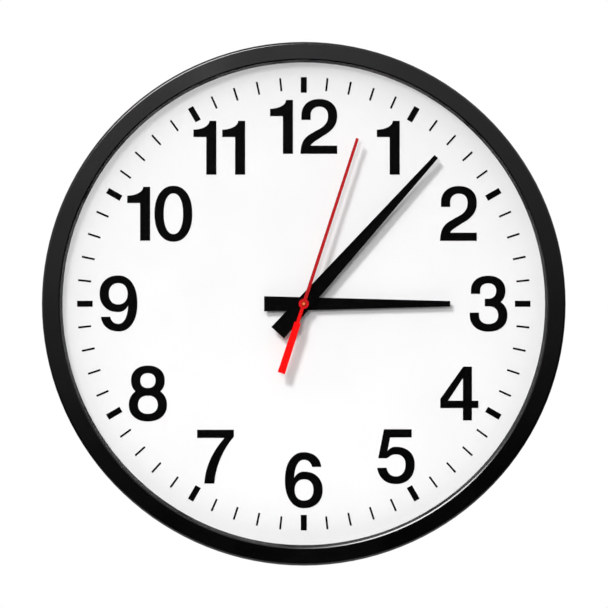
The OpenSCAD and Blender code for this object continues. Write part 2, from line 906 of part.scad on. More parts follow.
// Rear case: a flat dish with the bay, the hanger pocket, the posts and the dial ring
back_groove_r = 140;
back_groove_w = 1.6;
back_groove_d = 0.6;
post_r = 3;
post_x = move_w / 2 - 3.4;
post_up = move_up - 3.4;
post_down = move_down - 3.4;
move_hole_r = move_screw_d / 2 + thread_gap;
cradle_x = 24;
antenna_y = 48;
antenna_r = 4;
antenna_l = 60;
antenna_z = rear_t + antenna_r + 2;

module at_move_corners() {
  for (sx = [-1, 1], y = [post_up, -post_down])
    translate([sx * post_x, y, 0])
      children();
}

module rear_case() {
  bay_out_x = bay_in_w / 2 + bay_t;
  bay_out_y = bay_in_h / 2 + bay_t;
  color(ABS_BLACK)
    on_wall()
      difference() {
        union() {
          disc(skirt_in_r - fit_gap, 0, rear_t, $fn = 180);
          tube(ring_out_r - ring_t, ring_out_r, rear_t, dial_z, $fn = 180);
          at_move_corners()
            disc(post_r, rear_t, move_z);
          box([-pocket_w / 2 - pocket_wall, pocket_low - pocket_wall, rear_t],
            [pocket_w / 2 + pocket_wall, pocket_high + pocket_wall, rear_t + pocket_h + pocket_wall]);
          box([-bay_out_x, bay_y - bay_out_y, rear_t], [bay_out_x, bay_y + bay_out_y, bay_in_z + bay_t]);
          for (sx = [-1, 1])
            translate([sx * (barrel_l / 2 + ear_l / 2 + fit_gap), hinge_y, 0])
              box([-ear_l / 2, -barrel_r - 1.4, rear_t - 1],
                [ear_l / 2, barrel_r + 1.4, hinge_z + barrel_r + 0.6]);
          for (sx = [-1, 1])
            box([sx * cradle_x - 1.5, antenna_y - antenna_r - 1.6, rear_t],
              [sx * cradle_x + 1.5, antenna_y + antenna_r + 1.6, antenna_z]);
        }
        tube(back_groove_r, back_groove_r + back_groove_w, -1, back_groove_d, $fn = 180);
        at_case_screws() {
          disc(case_head_d / 2 + head_gap, -1, head_gap + case_head_h);
          disc(case_screw_d / 2 + head_gap, -1, rear_t + 1);
        }
        at_move_corners()
          disc(move_hole_r, rear_t - 1.6, move_z + 1);
        translate([0, hanger_mid, -1])
          linear_extrude(1 + plate_back + hanger_t)
            round_plate([hanger_w + 2 * fit_gap, hanger_h + 2 * fit_gap], 2 + fit_gap);
        at_rivets()
          disc(rivet_r + run_gap / 2, 0, rear_t + 1);
        box([-pocket_w / 2, pocket_low, 0], [pocket_w / 2, pocket_high, rear_t + pocket_h]);
        box([-bay_in_w / 2, bay_y - bay_in_h / 2, -1], [bay_in_w / 2, bay_y + bay_in_h / 2, bay_in_z]);
        box([-door_w / 2, hinge_y + barrel_r, -1], [door_w / 2, door_top, door_t + fit_gap]);
        box([-barrel_l / 2 - fit_gap, hinge_y - barrel_r - slot_room, -1],
          [barrel_l / 2 + fit_gap, hinge_y + barrel_r + 1, hinge_z + barrel_r + fit_gap]);
        translate([0, hinge_y, hinge_z])
          rotate([0, 90, 0])
            disc(hinge_pin_r + run_gap / 2, -pin_l / 2 - fit_gap, pin_l / 2 + fit_gap);
        for (row = [-1, 1])
          translate([bay_in_w / 2, bay_y + row * cell_pitch / 2, 0])
            box([-1, -tag_w / 2 - 0.1, cell_z - contact_t - 0.1], [bay_t + 1, tag_w / 2 + 0.1, cell_z + 0.1]);
        translate([-antenna_l, antenna_y, antenna_z])
          rotate([0, 90, 0])
            disc(antenna_r + run_gap, 0, 2 * antenna_l);
        translate([button_x, -button_down, 0])
          disc(button_r + run_gap, -1, rear_t + 1);
      }
}

module screw(d, l, head_d, head_h) {
  disc(d / 2, 0, l);
  difference() {
    disc(head_d / 2, -head_h, 0);
    for (a = [0, 90])
      rotate([0, 0, a])
        box([-head_d / 3, -0.35, -head_h - 1], [head_d / 3, 0.35, -head_h / 2]);
  }
}

module case_screws() {
  color(STEEL)
    on_wall()
      at_case_screws()
        translate([0, 0, head_gap + case_head_h])
          screw(case_screw_d, case_screw_l, case_head_d, case_head_h);
}

// Movement. Its case is a base tray, a middle plate and a cover that four screws clamp.
column_r = 2.9;
board_left = 4;
board_right = 27;
board_high = 20;
board_post_r = 1.6;
spin_gap = 0.05;
pivot_hole_r = pivot_r + spin_gap;
pivot_depth = 0.9;

// Every toothed wheel has short teeth with side play, so that two wheels turn without touching
module teeth(n, m, phase, z0, z1) {
  pitch = m * n / 2;
  small = n < 20;
  thick = 90 / n * (small ? 0.8 : 0.86);
  at_tip = thick * (small ? 0.5 : 0.45);
  at_root = thick * (small ? 0.95 : 1.35);
  tooth = [
    [pitch - 1.1 * m, -at_root], [pitch, -thick], [pitch + 0.7 * m, -at_tip],
    [pitch + 0.7 * m, at_tip], [pitch, thick], [pitch - 1.1 * m, at_root]
  ];
  translate([0, 0, z0])
    linear_extrude(z1 - z0)
      polygon([for (i = [0 : n - 1], p = tooth) polar(p[0], phase + 360 * i / n + p[1])]);
}

// Phase that puts a gap, not a tooth, towards the direction a
function gap_towards(a, n) = a + 180 / n;

// A flat wheel that shows a gap towards the pinion that it meshes with
module wheel(n, m, pinion_dir, z) {
  teeth(n, m, gap_towards(pinion_dir, n), z, z + wheel_t);
}

module at(place) {
  translate([place[0], place[1], 0])
    children();
}

// Levels of the seconds train, behind the middle plate
seconds_pinion_z = floor_z + 1;
idler_wheel_z = floor_z + 1.5;
wheel_t = 1;
seconds_wheel_z = floor_z + 4.5;
rear_core_z = floor_z + 4;
// Levels of the minutes train, in front of the middle plate
third_wheel_z = front_z + 0.7;
centre_wheel_z = front_z + 2.9;
minutes_wheel_z = front_z + 5.1;
cannon_top_z = front_z + 6.9;
motion_wheel_z = front_z + 4.7;
hour_wheel_z = front_z + 7.5;
front_core_z = front_z + 3.5;
core_t = 0.8;
magnet_r = 3.2;
stator_hole_r = 3.5;
coil_y = -21;
coil_in = 7;
coil_out = 22.4;
rear_coil_r = 4;
front_coil_r = 3.4;

module rotor(place, low, high, pinion_low, magnet_low, phase) {
  at(place) {
    color(STEEL)
      disc(pivot_r, low - pivot_depth + 0.1, high + pivot_depth - 0.1);
    color(MOULD_WHITE)
      teeth(pinion_n, fine_m, phase, pinion_low, pinion_low + 2);
    color("#3a3d42")
      tube(pivot_r, magnet_r, magnet_low, magnet_low + 2, $fn = 48);
  }
}

module seconds_rotor() {
  on_wall()
    rotor(seconds_rotor_at, floor_z, plate_z, seconds_pinion_z, rear_core_z - 0.6, seconds_rotor_dir + 180);
}

module minutes_rotor() {
  on_wall()
    rotor(minutes_rotor_at, front_z, top_z, minutes_wheel_z - 0.5, front_core_z - 0.6,
      minutes_rotor_dir + 180);
}

module seconds_idler() {
  color(MOULD_WHITE)
    on_wall()
      at(seconds_idler_at) {
        disc(pivot_r, floor_z - pivot_depth + 0.1, plate_z + pivot_depth - 0.1);
        wheel(idler_n, fine_m, seconds_rotor_dir, idler_wheel_z);
        teeth(pinion_n, train_m, seconds_dir + 180, idler_wheel_z + wheel_t, seconds_wheel_z + wheel_t + 0.3);
      }
}

module seconds_wheel() {
  on_wall() {
    color(STEEL)
      disc(arbor_r, floor_z - pivot_depth + 0.1, arbor_end_z);
    color(MOULD_WHITE)
      difference() {
        wheel(seconds_n, train_m, seconds_dir, seconds_wheel_z);
        disc(arbor_r, seconds_wheel_z - 1, seconds_wheel_z + wheel_t + 1);
      }
  }
}

module minutes_idler() {
  color(MOULD_WHITE)
    on_wall()
      at(minutes_idler_at) {
        disc(pivot_r, front_z - pivot_depth + 0.1, top_z + pivot_depth - 0.1);
        wheel(idler_n, fine_m, minutes_rotor_dir, minutes_wheel_z);
        teeth(pinion_n, mid_m, minutes_idler_dir + 180, third_wheel_z - 0.3, minutes_wheel_z);
      }
}

module third_wheel() {
  color(MOULD_WHITE)
    on_wall()
      at(third_at) {
        disc(pivot_r, front_z - pivot_depth + 0.1, top_z + pivot_depth - 0.1);
        wheel(third_n, mid_m, minutes_idler_dir, third_wheel_z);
        teeth(pinion_n, train_m, third_dir + 180, third_wheel_z + wheel_t, centre_wheel_z + wheel_t + 0.4);
      }
}

module centre_wheel() {
  color(MOULD_WHITE)
    on_wall()
      difference() {
        union() {
          disc(minute_pipe_out, front_z + 0.3, minute_z + hand_t);
          wheel(centre_n, train_m, third_dir, centre_wheel_z);
          teeth(cannon_n, cannon_m, motion_dir, centre_wheel_z + wheel_t, cannon_top_z);
        }
        disc(minute_pipe_in, front_z, minute_z + hand_t + 1);
      }
}

module motion_wheel() {
  color(MOULD_WHITE)
    on_wall()
      at(motion_at) {
        disc(pivot_r, front_z - pivot_depth + 0.1, top_z + pivot_depth - 0.1);
        wheel(motion_n, cannon_m, motion_dir + 180, motion_wheel_z);
        teeth(motion_pinion_n, hour_m, motion_dir + 180,
          motion_wheel_z + wheel_t, hour_wheel_z + wheel_t + 0.3);
      }
}

module hour_wheel() {
  color(MOULD_WHITE)
    on_wall()
      difference() {
        union() {
          disc(hour_pipe_out, cannon_top_z + 0.3, hour_z + hand_t);
          wheel(hour_n, hour_m, motion_dir, hour_wheel_z);
        }
        disc(hour_pipe_in, cannon_top_z, hour_z + hand_t + 1);
      }
}

// Outline walls and corner columns shared by the base tray and the cover
module move_walls(z0, z1) {
  difference() {
    box([-move_w / 2, -move_down, z0], [move_w / 2, move_up, z1]);
    box([-move_w / 2 + side_t, -move_down + side_t, z0 - 1], [move_w / 2 - side_t, move_up - side_t, z1 + 1]);
  }
  at_move_corners()
    disc(column_r, z0, z1);
}

module at_board_posts() {
  for (x = [board_left + 3, board_right - 3])
    at([x, board_high - 3])
      children();
  at([board_right - 3, board_low + 3])
    children();
}

module movement_base() {
  color(MOULD_GREY)
    on_wall()
      difference() {
        union() {
          box([-move_w / 2, -move_down, move_z], [move_w / 2, move_up, floor_z]);
          move_walls(move_z, plate_z);
          at_board_posts()
            disc(board_post_r, floor_z, board_z);
          for (x = [-coil_out - 2, -coil_in])
            box([x, coil_y - 3, floor_z], [x + 2, coil_y + 3, rear_core_z]);
          box([-coil_out - 6.6, -4, floor_z], [-coil_out - 4.8, 4, rear_core_z]);
        }
        at_move_corners()
          disc(move_hole_r, move_z - 1, plate_z + 1);
        disc(arbor_r + spin_gap, floor_z - pivot_depth, plate_z);
        for (place = [seconds_idler_at, seconds_rotor_at])
          at(place)
            disc(pivot_hole_r, floor_z - pivot_depth, plate_z);
        at([button_x, -button_down])
          disc(button_r + run_gap + 0.1, move_z - 1, floor_z + 1);
        for (x = [lead_near_x, lead_far_x])
          translate([x, -move_down - 1, wire_floor_z])
            rotate([-90, 0, 0])
              disc(wire_r + 0.1, 0, side_t + 2);
        for (x = antenna_in_x)
          translate([x, move_up + 1, board_z + board_t + antenna_wire_r])
            rotate([90, 0, 0])
              disc(antenna_wire_r + 0.1, 0, side_t + 2);
      }
}

module middle_plate() {
  color(MOULD_GREY)
    on_wall()
      difference() {
        box([-move_w / 2, -move_down, plate_z], [move_w / 2, move_up, front_z]);
        at_move_corners()
          disc(move_hole_r, plate_z - 1, front_z + 1);
        disc(arbor_r + spin_gap, plate_z - 1, front_z + 1);
        for (place = [seconds_idler_at, seconds_rotor_at])
          at(place)
            disc(pivot_hole_r, plate_z - 1, plate_z + pivot_depth);
        for (place = [third_at, minutes_idler_at, minutes_rotor_at, motion_at])
          at(place)
            disc(pivot_hole_r, front_z - pivot_depth, front_z + 1);
      }
}

module movement_cover() {
  color(MOULD_GREY)
    on_wall()
      difference() {
        union() {
          box([-move_w / 2, -move_down, top_z], [move_w / 2, move_up, cover_z]);
          move_walls(front_z, top_z);
          disc(shoulder_r, cover_z, dial_z);
          disc(tube_out, cover_z, face_z + 0.4);
          for (x = [coil_out, coil_in - 2])
            box([x, coil_y - 3, front_core_z + core_t], [x + 2, coil_y + 3, top_z]);
          box([coil_out + 6.6, -13, front_core_z + core_t], [coil_out + 8.6, -6, top_z]);
        }
        disc(tube_in, top_z - 1, face_z + 1);
        at_move_corners() {
          disc(move_hole_r, front_z - 1, cover_z + 1);
          disc(move_head_r + head_gap, cover_z - move_head_h, cover_z + 1);
        }
        for (place = [third_at, minutes_idler_at, minutes_rotor_at, motion_at])
          at(place)
            disc(pivot_hole_r, top_z - 1, top_z + pivot_depth);
      }
}

move_head_r = 2.2;
move_head_h = 1.6;

module movement_screws() {
  seat_z = cover_z - move_head_h;
  color(STEEL)
    on_wall()
      at_move_corners()
        translate([0, 0, seat_z])
          mirror([0, 0, 1])
            screw(move_screw_d, seat_z - rear_t + 1, 2 * move_head_r, move_head_h);
}

stator_foot_y = -13.4;
rear_stator_top_y = 5;
front_stator_top_y = -2.8;

// Soft iron stator that links a motor's coil to its rotor, drawn for side +1 and mirrored for -1
module stator(side, place, z, foot_y, high_y) {
  plate_in = 14.5;
  leg_in = 2.4;
  leg_w = 3;
  plate_out = 29.4;
  near = side > 0 ? 20.3 : plate_in;
  yoke_low = coil_y + rear_coil_r + 0.4;
  on_wall()
    difference() {
      translate([0, 0, z])
        linear_extrude(core_t)
          mirror([side > 0 ? 0 : 1, 0]) {
            bar(near, yoke_low, side > 0 ? plate_out + 2 : plate_out, high_y);
            bar(leg_in, yoke_low, near + 1, foot_y);
            bar(leg_in, coil_y - 2, leg_in + leg_w, foot_y);
            bar(coil_out + 0.8, coil_y - 2, coil_out + 4.6, yoke_low + 1);
            bar(leg_in, coil_y - 2, coil_out + 4.6, coil_y + 2);
          }
      at(place)
        disc(stator_hole_r, z - 1, z + 2);
    }
}

module seconds_stator() {
  color(STEEL)
    stator(-1, seconds_rotor_at, rear_core_z, stator_foot_y, rear_stator_top_y);
}

module minutes_stator() {
  color(STEEL)
    stator(1, minutes_rotor_at, front_core_z, stator_foot_y, front_stator_top_y);
}

// Bobbin with its winding, threaded on the stator's core
module motor_coil(side, z, r) {
  mid = z + core_t / 2;
  flange_t = 0.8;
  on_wall()
    mirror([side > 0 ? 0 : 1, 0, 0])
      difference() {
        translate([0, coil_y, mid])
          rotate([0, 90, 0]) {
            color(COPPER)
              disc(r - 0.5, coil_in + flange_t, coil_out - flange_t);
            color(MOULD_WHITE) {
              disc(r, coil_in, coil_in + flange_t);
              disc(r, coil_out - flange_t, coil_out);
            }
          }
        box([0, coil_y - 2.05, z - 0.05], [coil_out + 2, coil_y + 2.05, z + core_t + 0.05]);
      }
}

module seconds_coil() {
  motor_coil(-1, rear_core_z, rear_coil_r);
}

module minutes_coil() {
  motor_coil(1, front_core_z, front_coil_r);
}

module circuit_board() {
  color(BOARD_GREEN)
    on_wall()
      box([board_left, board_low, board_z], [board_right, board_high, board_z + board_t]);
}

chip_at = [17, 4];
can_at = [18, 13];
crystal_at = [8, -12];

module control_chip() {
  z = board_z + board_t;
  color("#1d1e20")
    on_wall()
      at(chip_at)
        box([-3.5, -3.5, z], [3.5, 3.5, z + 1.2]);
}

module receiver_can() {
  z = board_z + board_t;
  color(STEEL)
    on_wall()
      at(can_at)
        box([-5, -4, z], [5, 4, z + 1.8]);
}

module quartz_crystal() {
  r = 1.2;
  color(STEEL)
    on_wall()
      translate([crystal_at[0], crystal_at[1], board_z + board_t + r])
        rotate([-90, 0, 0])
          disc(r, -4, 4);
}

// Push switch on the rear of the board, with its plunger
switch_w = 6;
switch_z = board_z - 1.8;
plunger_r = 1.5;
plunger_out = button_travel + 0.1;

module tact_switch() {
  color("#2a2b2d")
    on_wall()
      at([button_x, -button_down])
        difference() {
          box([-switch_w / 2, -switch_w / 2, switch_z], [switch_w / 2, switch_w / 2, board_z]);
          disc(plunger_r + run_gap, switch_z - 1, board_z - 0.2);
        }
}

module switch_plunger() {
  color("#3b3c3e")
    on_wall()
      at([button_x, -button_down])
        disc(plunger_r, switch_z - plunger_out, board_z - 0.3 - button_travel);
}

button_flange_r = 3;

module sync_button() {
  color("#2f3032")
    on_wall()
      at([button_x, -button_down]) {
        disc(button_r, head_gap, switch_z - plunger_out);
        disc(button_flange_r, rear_t + fit_gap, rear_t + fit_gap + 1);
      }
}

// Ferrite rod aerial in two cradles, with its winding and its two wires
antenna_wire_r = 0.3;
antenna_in_x = [7, 10];
winding_l = 22;
winding_t = 0.9;

module antenna_rod() {
  color("#33302e")
    on_wall()
      translate([0, antenna_y, antenna_z])
        rotate([0, 90, 0])
          disc(antenna_r, -antenna_l / 2, antenna_l / 2);
}

module antenna_coil() {
  color(COPPER)
    on_wall()
      translate([0, antenna_y, antenna_z])
        rotate([0, 90, 0])
          tube(antenna_r, antenna_r + winding_t, -winding_l / 2, winding_l / 2);
}

module antenna_leads() {
  wire_z = board_z + board_t + antenna_wire_r;
  color(COPPER)
    on_wall()
      for (x = antenna_in_x)
        wire([
          [x, antenna_y - antenna_r - winding_t - 0.05, antenna_z],
          [x, move_up + 6, antenna_z],
          [x, move_up + 3, wire_z],
          [x, board_high - 5, wire_z]
        ], antenna_wire_r);
}

// Hands, drawn upright and turned clockwise to their time
module pointer(angle, z) {
  rotate([0, 0, -angle])
    translate([0, 0, z])
      children();
}

module tapered(l, tail, w, tip_w) {
  polygon([[-w / 2, -tail], [w / 2, -tail], [tip_w / 2, l], [-tip_w / 2, l]]);
}

collet_h = 1.2;
collet_t = 1;

module hour_hand() {
  color(PRINT_BLACK)
    on_wall()
      pointer(hour_angle, 0)
        difference() {
          union() {
            translate([0, 0, hour_z])
              linear_extrude(hand_t)
                tapered(hour_l, hour_tail, hour_w, hour_tip_w);
            disc(hour_pipe_out + collet_t, hour_z - collet_h, hour_z);
          }
          disc(hour_pipe_out, hour_z - collet_h - 1, hour_z + hand_t + 1);
        }
}

module minute_hand() {
  color(PRINT_BLACK)
    on_wall()
      pointer(minute_angle, 0)
        difference() {
          union() {
            translate([0, 0, minute_z])
              linear_extrude(hand_t)
                tapered(minute_l, minute_tail, minute_w, minute_tip_w);
            disc(minute_pipe_out + collet_t, minute_z - collet_h, minute_z);
          }
          disc(minute_pipe_out, minute_z - collet_h - 1, minute_z + hand_t + 1);
        }
}

bush_r = 1.35;

module second_hand() {
  start_w = weight_w - 0.6;
  color(HAND_RED)
    on_wall()
      pointer(second_angle, second_z)
        difference() {
          linear_extrude(hand_t) {
            tapered(second_l, 0, second_neck_w, second_tip_w);
            tapered(0.1, weight_start + 0.1, second_neck_w, second_neck_w);
            polygon([[-weight_w / 2, -weight_end], [weight_w / 2, -weight_end],
              [start_w / 2, -weight_start], [-start_w / 2, -weight_start]]);
            circle(second_boss_r);
          }
          disc(bush_r, -1, hand_t + 1);
        }
}

module second_bush() {
  color(BRASS)
    on_wall()
      pointer(second_angle, 0)
        tube(arbor_r, bush_r, second_z - collet_h + 0.2, second_z + hand_t + 0.4);
}

front_frame();
lens();
lens_seal();
dial_spacer();
dial();
dial_numerals();
dial_hour_marks();
dial_minute_marks();
rear_case();
case_screws();
hanger_plate();
hanger_rivets();
battery_door();
door_hinge_pin();
battery_cell_1();
battery_cell_2();
battery_springs();
battery_contacts();
battery_leads();
movement_base();
middle_plate();
movement_cover();
movement_screws();
circuit_board();
control_chip();
receiver_can();
quartz_crystal();
antenna_rod();
antenna_coil();
antenna_leads();
tact_switch();
switch_plunger();
sync_button();
seconds_coil();
seconds_stator();
minutes_coil();
minutes_stator();
seconds_rotor();
seconds_idler();
seconds_wheel();
second_hand();
second_bush();
minutes_rotor();
minutes_idler();
third_wheel();
centre_wheel();
minute_hand();
motion_wheel();
hour_wheel();
hour_hand();
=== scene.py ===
# %% [markdown]
# # A synchronized wall clock
#
# This scene dresses a finished model of a wall clock: a black drum case, a white dial with
# black numerals, black hour and minute hands, a red second hand and a clear lens. Behind
# the dial are a small two-motor movement, a battery bay with a hinged door and a hanger.
#
# Sizes come from the model, which is already exact, so most of the work here is light and
# finish. A few small things that are easier to shape with meshes and curves, such as the
# wire springs, are made here and take the place of their plain stand-ins.
#
# The model is in metres and its sizes are spoken of in millimetres, so lengths are written
# as a number times `MM`. The camera looks along y, with x to the right and z up.

import math

import bmesh
import bpy
from mathutils import Matrix, Vector


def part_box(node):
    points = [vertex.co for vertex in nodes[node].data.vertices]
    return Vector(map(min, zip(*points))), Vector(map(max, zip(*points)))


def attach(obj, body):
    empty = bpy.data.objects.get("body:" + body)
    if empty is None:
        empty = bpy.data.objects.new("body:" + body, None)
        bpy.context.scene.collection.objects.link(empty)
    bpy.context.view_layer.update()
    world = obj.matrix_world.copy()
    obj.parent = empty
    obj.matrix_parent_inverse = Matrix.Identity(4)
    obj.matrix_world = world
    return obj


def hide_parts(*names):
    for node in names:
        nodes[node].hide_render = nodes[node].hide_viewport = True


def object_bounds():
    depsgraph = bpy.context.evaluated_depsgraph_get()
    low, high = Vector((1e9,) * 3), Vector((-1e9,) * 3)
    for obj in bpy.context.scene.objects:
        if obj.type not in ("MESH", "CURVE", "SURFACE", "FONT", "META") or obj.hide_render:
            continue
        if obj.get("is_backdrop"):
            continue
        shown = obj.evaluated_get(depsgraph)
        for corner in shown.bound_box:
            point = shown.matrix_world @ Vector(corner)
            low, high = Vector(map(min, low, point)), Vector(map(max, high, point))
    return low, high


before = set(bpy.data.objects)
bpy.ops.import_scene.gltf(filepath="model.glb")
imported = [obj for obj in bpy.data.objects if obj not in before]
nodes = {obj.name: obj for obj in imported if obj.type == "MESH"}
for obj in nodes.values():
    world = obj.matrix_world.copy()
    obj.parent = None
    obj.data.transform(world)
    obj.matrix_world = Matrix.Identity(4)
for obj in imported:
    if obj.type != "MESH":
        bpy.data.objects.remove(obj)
model_low, model_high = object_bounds()
MM = 0.001
print("pieces:", len(nodes), "size in mm:", [round(v / MM, 1) for v in model_high - model_low])

# %% [markdown]
# ## The camera
#
# The clock is seen square on and its sides don't show at all, so the lens is long and the
# camera far away. A closer camera would let the inside of the rim show more on one side.
# The picture's width at the front of the clock sets the focal length: a sensor 36 mm wide
# looks at a known width from a known distance. The camera stands a hair right of the
# clock's middle and as much below it, which puts the clock where it lies in the photograph.

# %% Camera
VIEW_WIDTH = 382.75 * MM
SENSOR_WIDTH_MM = 36
CAMERA_DISTANCE = 4.0
OFF_CENTRE = 0.15 * MM
FRONT_Y = model_low[1]

camera_data = bpy.data.cameras.new("camera")
camera_data.sensor_width = SENSOR_WIDTH_MM
camera_data.lens = SENSOR_WIDTH_MM * CAMERA_DISTANCE / VIEW_WIDTH
camera_data.clip_end = 10 * CAMERA_DISTANCE
camera = bpy.data.objects.new("camera", camera_data)
camera.location = (OFF_CENTRE, FRONT_Y - CAMERA_DISTANCE, -OFF_CENTRE)
camera.rotation_euler = (math.radians(90), 0, 0)
bpy.context.scene.collection.objects.link(camera)
bpy.context.scene.camera = camera
bpy.context.scene.view_settings.view_transform = "Standard"
print("focal length:", round(camera_data.lens), "mm")

# %% [markdown]
# ## Colours and nodes
#
# Colours are given as sRGB hex values, the way paint charts give them. Blender's
# shaders work in linear light, so one function turns a hex value into linear numbers.
#
# Every material below is a small tree of nodes. `add` makes a node, sets what is given as
# a value and links what is given as a socket. The others are short names for the nodes
# that come back most: sums on numbers and on vectors, and a ramp that maps one range onto
# another, straight or eased at both ends.

# %% Helpers for nodes
def linear(hex_code):
    parts = [int(hex_code[i : i + 2], 16) / 255 for i in (1, 3, 5)]
    return [c / 12.92 if c <= 0.04045 else ((c + 0.055) / 1.055) ** 2.4 for c in parts] + [1]


def add(owner, kind, settings=None, inputs=None):
    tree = owner.node_tree
    node = tree.nodes.new("ShaderNode" + kind)
    for name, value in (settings or {}).items():
        setattr(node, name, value)
    for name, value in (inputs or {}).items():
        if isinstance(value, bpy.types.NodeSocket):
            tree.links.new(value, node.inputs[name])
        else:
            node.inputs[name].default_value = value
    return node


def maths(owner, operation, *operands):
    node = add(owner, "Math", {"operation": operation}, dict(enumerate(operands)))
    return node.outputs[0]


def vector_maths(owner, operation, *operands):
    node = add(owner, "VectorMath", {"operation": operation}, dict(enumerate(operands)))
    gives_number = operation in ("LENGTH", "DOT_PRODUCT")
    return node.outputs["Value" if gives_number else "Vector"]


def ramp(owner, value, low, high, start=0.0, end=1.0, eased=False):
    settings = {"interpolation_type": "SMOOTHSTEP" if eased else "LINEAR"}
    inputs = {"Value": value, "From Min": low, "From Max": high, "To Min": start, "To Max": end}
    return add(owner, "MapRange", settings, inputs).outputs[0]


print("mid grey in linear light:", round(linear("#808080")[0], 3))

# %% [markdown]
# ## The room
#
# The room itself is a smooth rise of light from dark near the floor to bright overhead, a
# little to the left. A dark zone round the camera matters as much as the lamps: without it
# the lens would mirror the room and the black numerals would turn grey. All limits here
# are parts of a direction one unit long: 0 is level and 1 is straight up, and off the
# camera's axis 0.1 is about 6 degrees.
#
# The background is white because rays that go straight from the camera into the room see
# plain white there. Rays that glass or a polished face sends towards the back meet a pale
# wall, darker towards the floor.

# %% Light of the room
ROOM_LIGHT = 0.7
BRIGHT_SIDE = (-0.17, 0, 0.985)
DARK_UP_TO, BRIGHT_FROM = -0.22, 0.35
ZONE_DARK, ZONE_CLEAR = 0.1, 0.22

world = bpy.data.worlds.new("studio")
world.use_nodes = True
world.node_tree.nodes.clear()
bpy.context.scene.world = world

direction = add(world, "TexCoord").outputs["Generated"]
upward = vector_maths(world, "DOT_PRODUCT", direction, BRIGHT_SIDE)
glow = ramp(world, upward, DARK_UP_TO, BRIGHT_FROM, end=ROOM_LIGHT, eased=True)
sideways = vector_maths(world, "MULTIPLY", direction, (1, 0, 1))
off_axis = vector_maths(world, "LENGTH", sideways)
opening = ramp(world, off_axis, ZONE_DARK, ZONE_CLEAR, eased=True)
room = maths(world, "MULTIPLY", glow, opening)
print("room light:", ROOM_LIGHT)

# %% White background and pale back wall
BACK_FROM = 0.05
WALL_LOW, WALL_HIGH = -0.5, 0.4
WALL_DARKEST = 0.3


def either(owner, choice, first, second):
    inputs = {"Factor": choice, "A": first, "B": second}
    return add(owner, "Mix", {"data_type": "FLOAT"}, inputs).outputs[0]


heading = add(world, "SeparateXYZ", inputs={0: direction}).outputs
at_back = maths(world, "GREATER_THAN", heading["Y"], BACK_FROM)
wall = ramp(world, heading["Z"], WALL_LOW, WALL_HIGH, start=WALL_DARKEST)
ray = add(world, "LightPath").outputs
bent = maths(world, "MAXIMUM", ray["Is Glossy Ray"], ray["Is Transmission Ray"])
bent_to_back = maths(world, "MULTIPLY", bent, at_back)
lit = either(world, bent_to_back, room, wall)
strength = either(world, ray["Is Camera Ray"], lit, 1.0)
sky = add(world, "Background", inputs={"Color": (1, 1, 1, 1), "Strength": strength})
add(world, "OutputWorld", inputs={"Surface": sky.outputs[0]})
print("nodes in the room's tree:", len(world.node_tree.nodes))

# %% [markdown]
# ## The lamps
#
# A product shot of a clock has its light high on the left. A small oval key lamp gives
# only the bright lines on the polished edges of the rim. Its long side is turned to lie
# along the rim, so that the lines are long too. The hands lamp gives most of the light and
# comes in steeply, which draws the long soft shadows of the hands. In the photograph the
# rim's own shadow is much narrower than those, which no single lamp can do, so the rim is
# left out of what shades the hands lamp. The wide lamp shines from nearer the camera's
# axis, draws the rim's narrow shadow and fills the others.
#
# A photographer puts polarising filters on lamps so that they leave no glare on black
# plastic. Here the hands lamp and the wide lamp are hidden from mirror rays to do the
# same. One broad lamp behind the clock gives its back some form.

# %% Lamps
def soft_lamp(name, towards, away, size, energy, glare=True):
    data = bpy.data.lights.new(name, "AREA")
    data.shape = "DISK"
    data.size = size
    data.energy = energy
    lamp = bpy.data.objects.new(name, data)
    towards = Vector(towards).normalized()
    lamp.location = towards * away
    lamp.rotation_euler = towards.to_track_quat("Z", "Y").to_euler()
    lamp.visible_glossy = glare
    bpy.context.scene.collection.objects.link(lamp)
    return lamp


KEY_TOWARDS = (-0.29, -1.0, 0.54)
HANDS_TOWARDS = (-0.56, -1.0, 0.89)
WIDE_TOWARDS = (-0.2, -1.0, 0.24)
BACK_TOWARDS = (0.6, 1.0, 0.9)

key = soft_lamp("key_lamp", KEY_TOWARDS, away=2.5, size=1.25, energy=54)
key.data.shape = "ELLIPSE"
key.data.size_y = 0.68
key.rotation_euler.rotate_axis("Z", math.atan2(-KEY_TOWARDS[0], KEY_TOWARDS[2]))
key.visible_diffuse = False
hands_lamp = soft_lamp("hands_lamp", HANDS_TOWARDS, away=5.0, size=1.0, energy=164, glare=False)
wide = soft_lamp("wide_lamp", WIDE_TOWARDS, away=2.5, size=0.5, energy=16, glare=False)
back = soft_lamp("back_lamp", BACK_TOWARDS, away=2.2, size=1.6, energy=9)

for lamp in (key, hands_lamp, wide, back):
    place = [round(v, 2) for v in lamp.location]
    print(lamp.name, "at", place, "m, energy", round(lamp.data.energy), "W")

# %% Let the hands lamp past the rim
past_rim = bpy.data.collections.new("lets_light_past")
for piece in ("front_frame", "dial_spacer", "lens", "lens_seal"):
    past_rim.objects.link(nodes[piece])
for link in past_rim.collection_objects:
    link.light_linking.link_state = "EXCLUDE"
hands_lamp.light_linking.blocker_collection = past_rim

# %% [markdown]
# ## The floor
#
# The clock hangs in a white space, so the floor only shows from other sides. It is a pale
# round sheet a little below the clock that fades out towards its edge, which leaves just
# the soft shadow. Its underside is see-through, so it never hides the clock from below.

# %% Floor sheet
FLOOR_Z = model_low[2] - 140 * MM
FLOOR_R = 0.5
FADE_FROM_R = 0.2

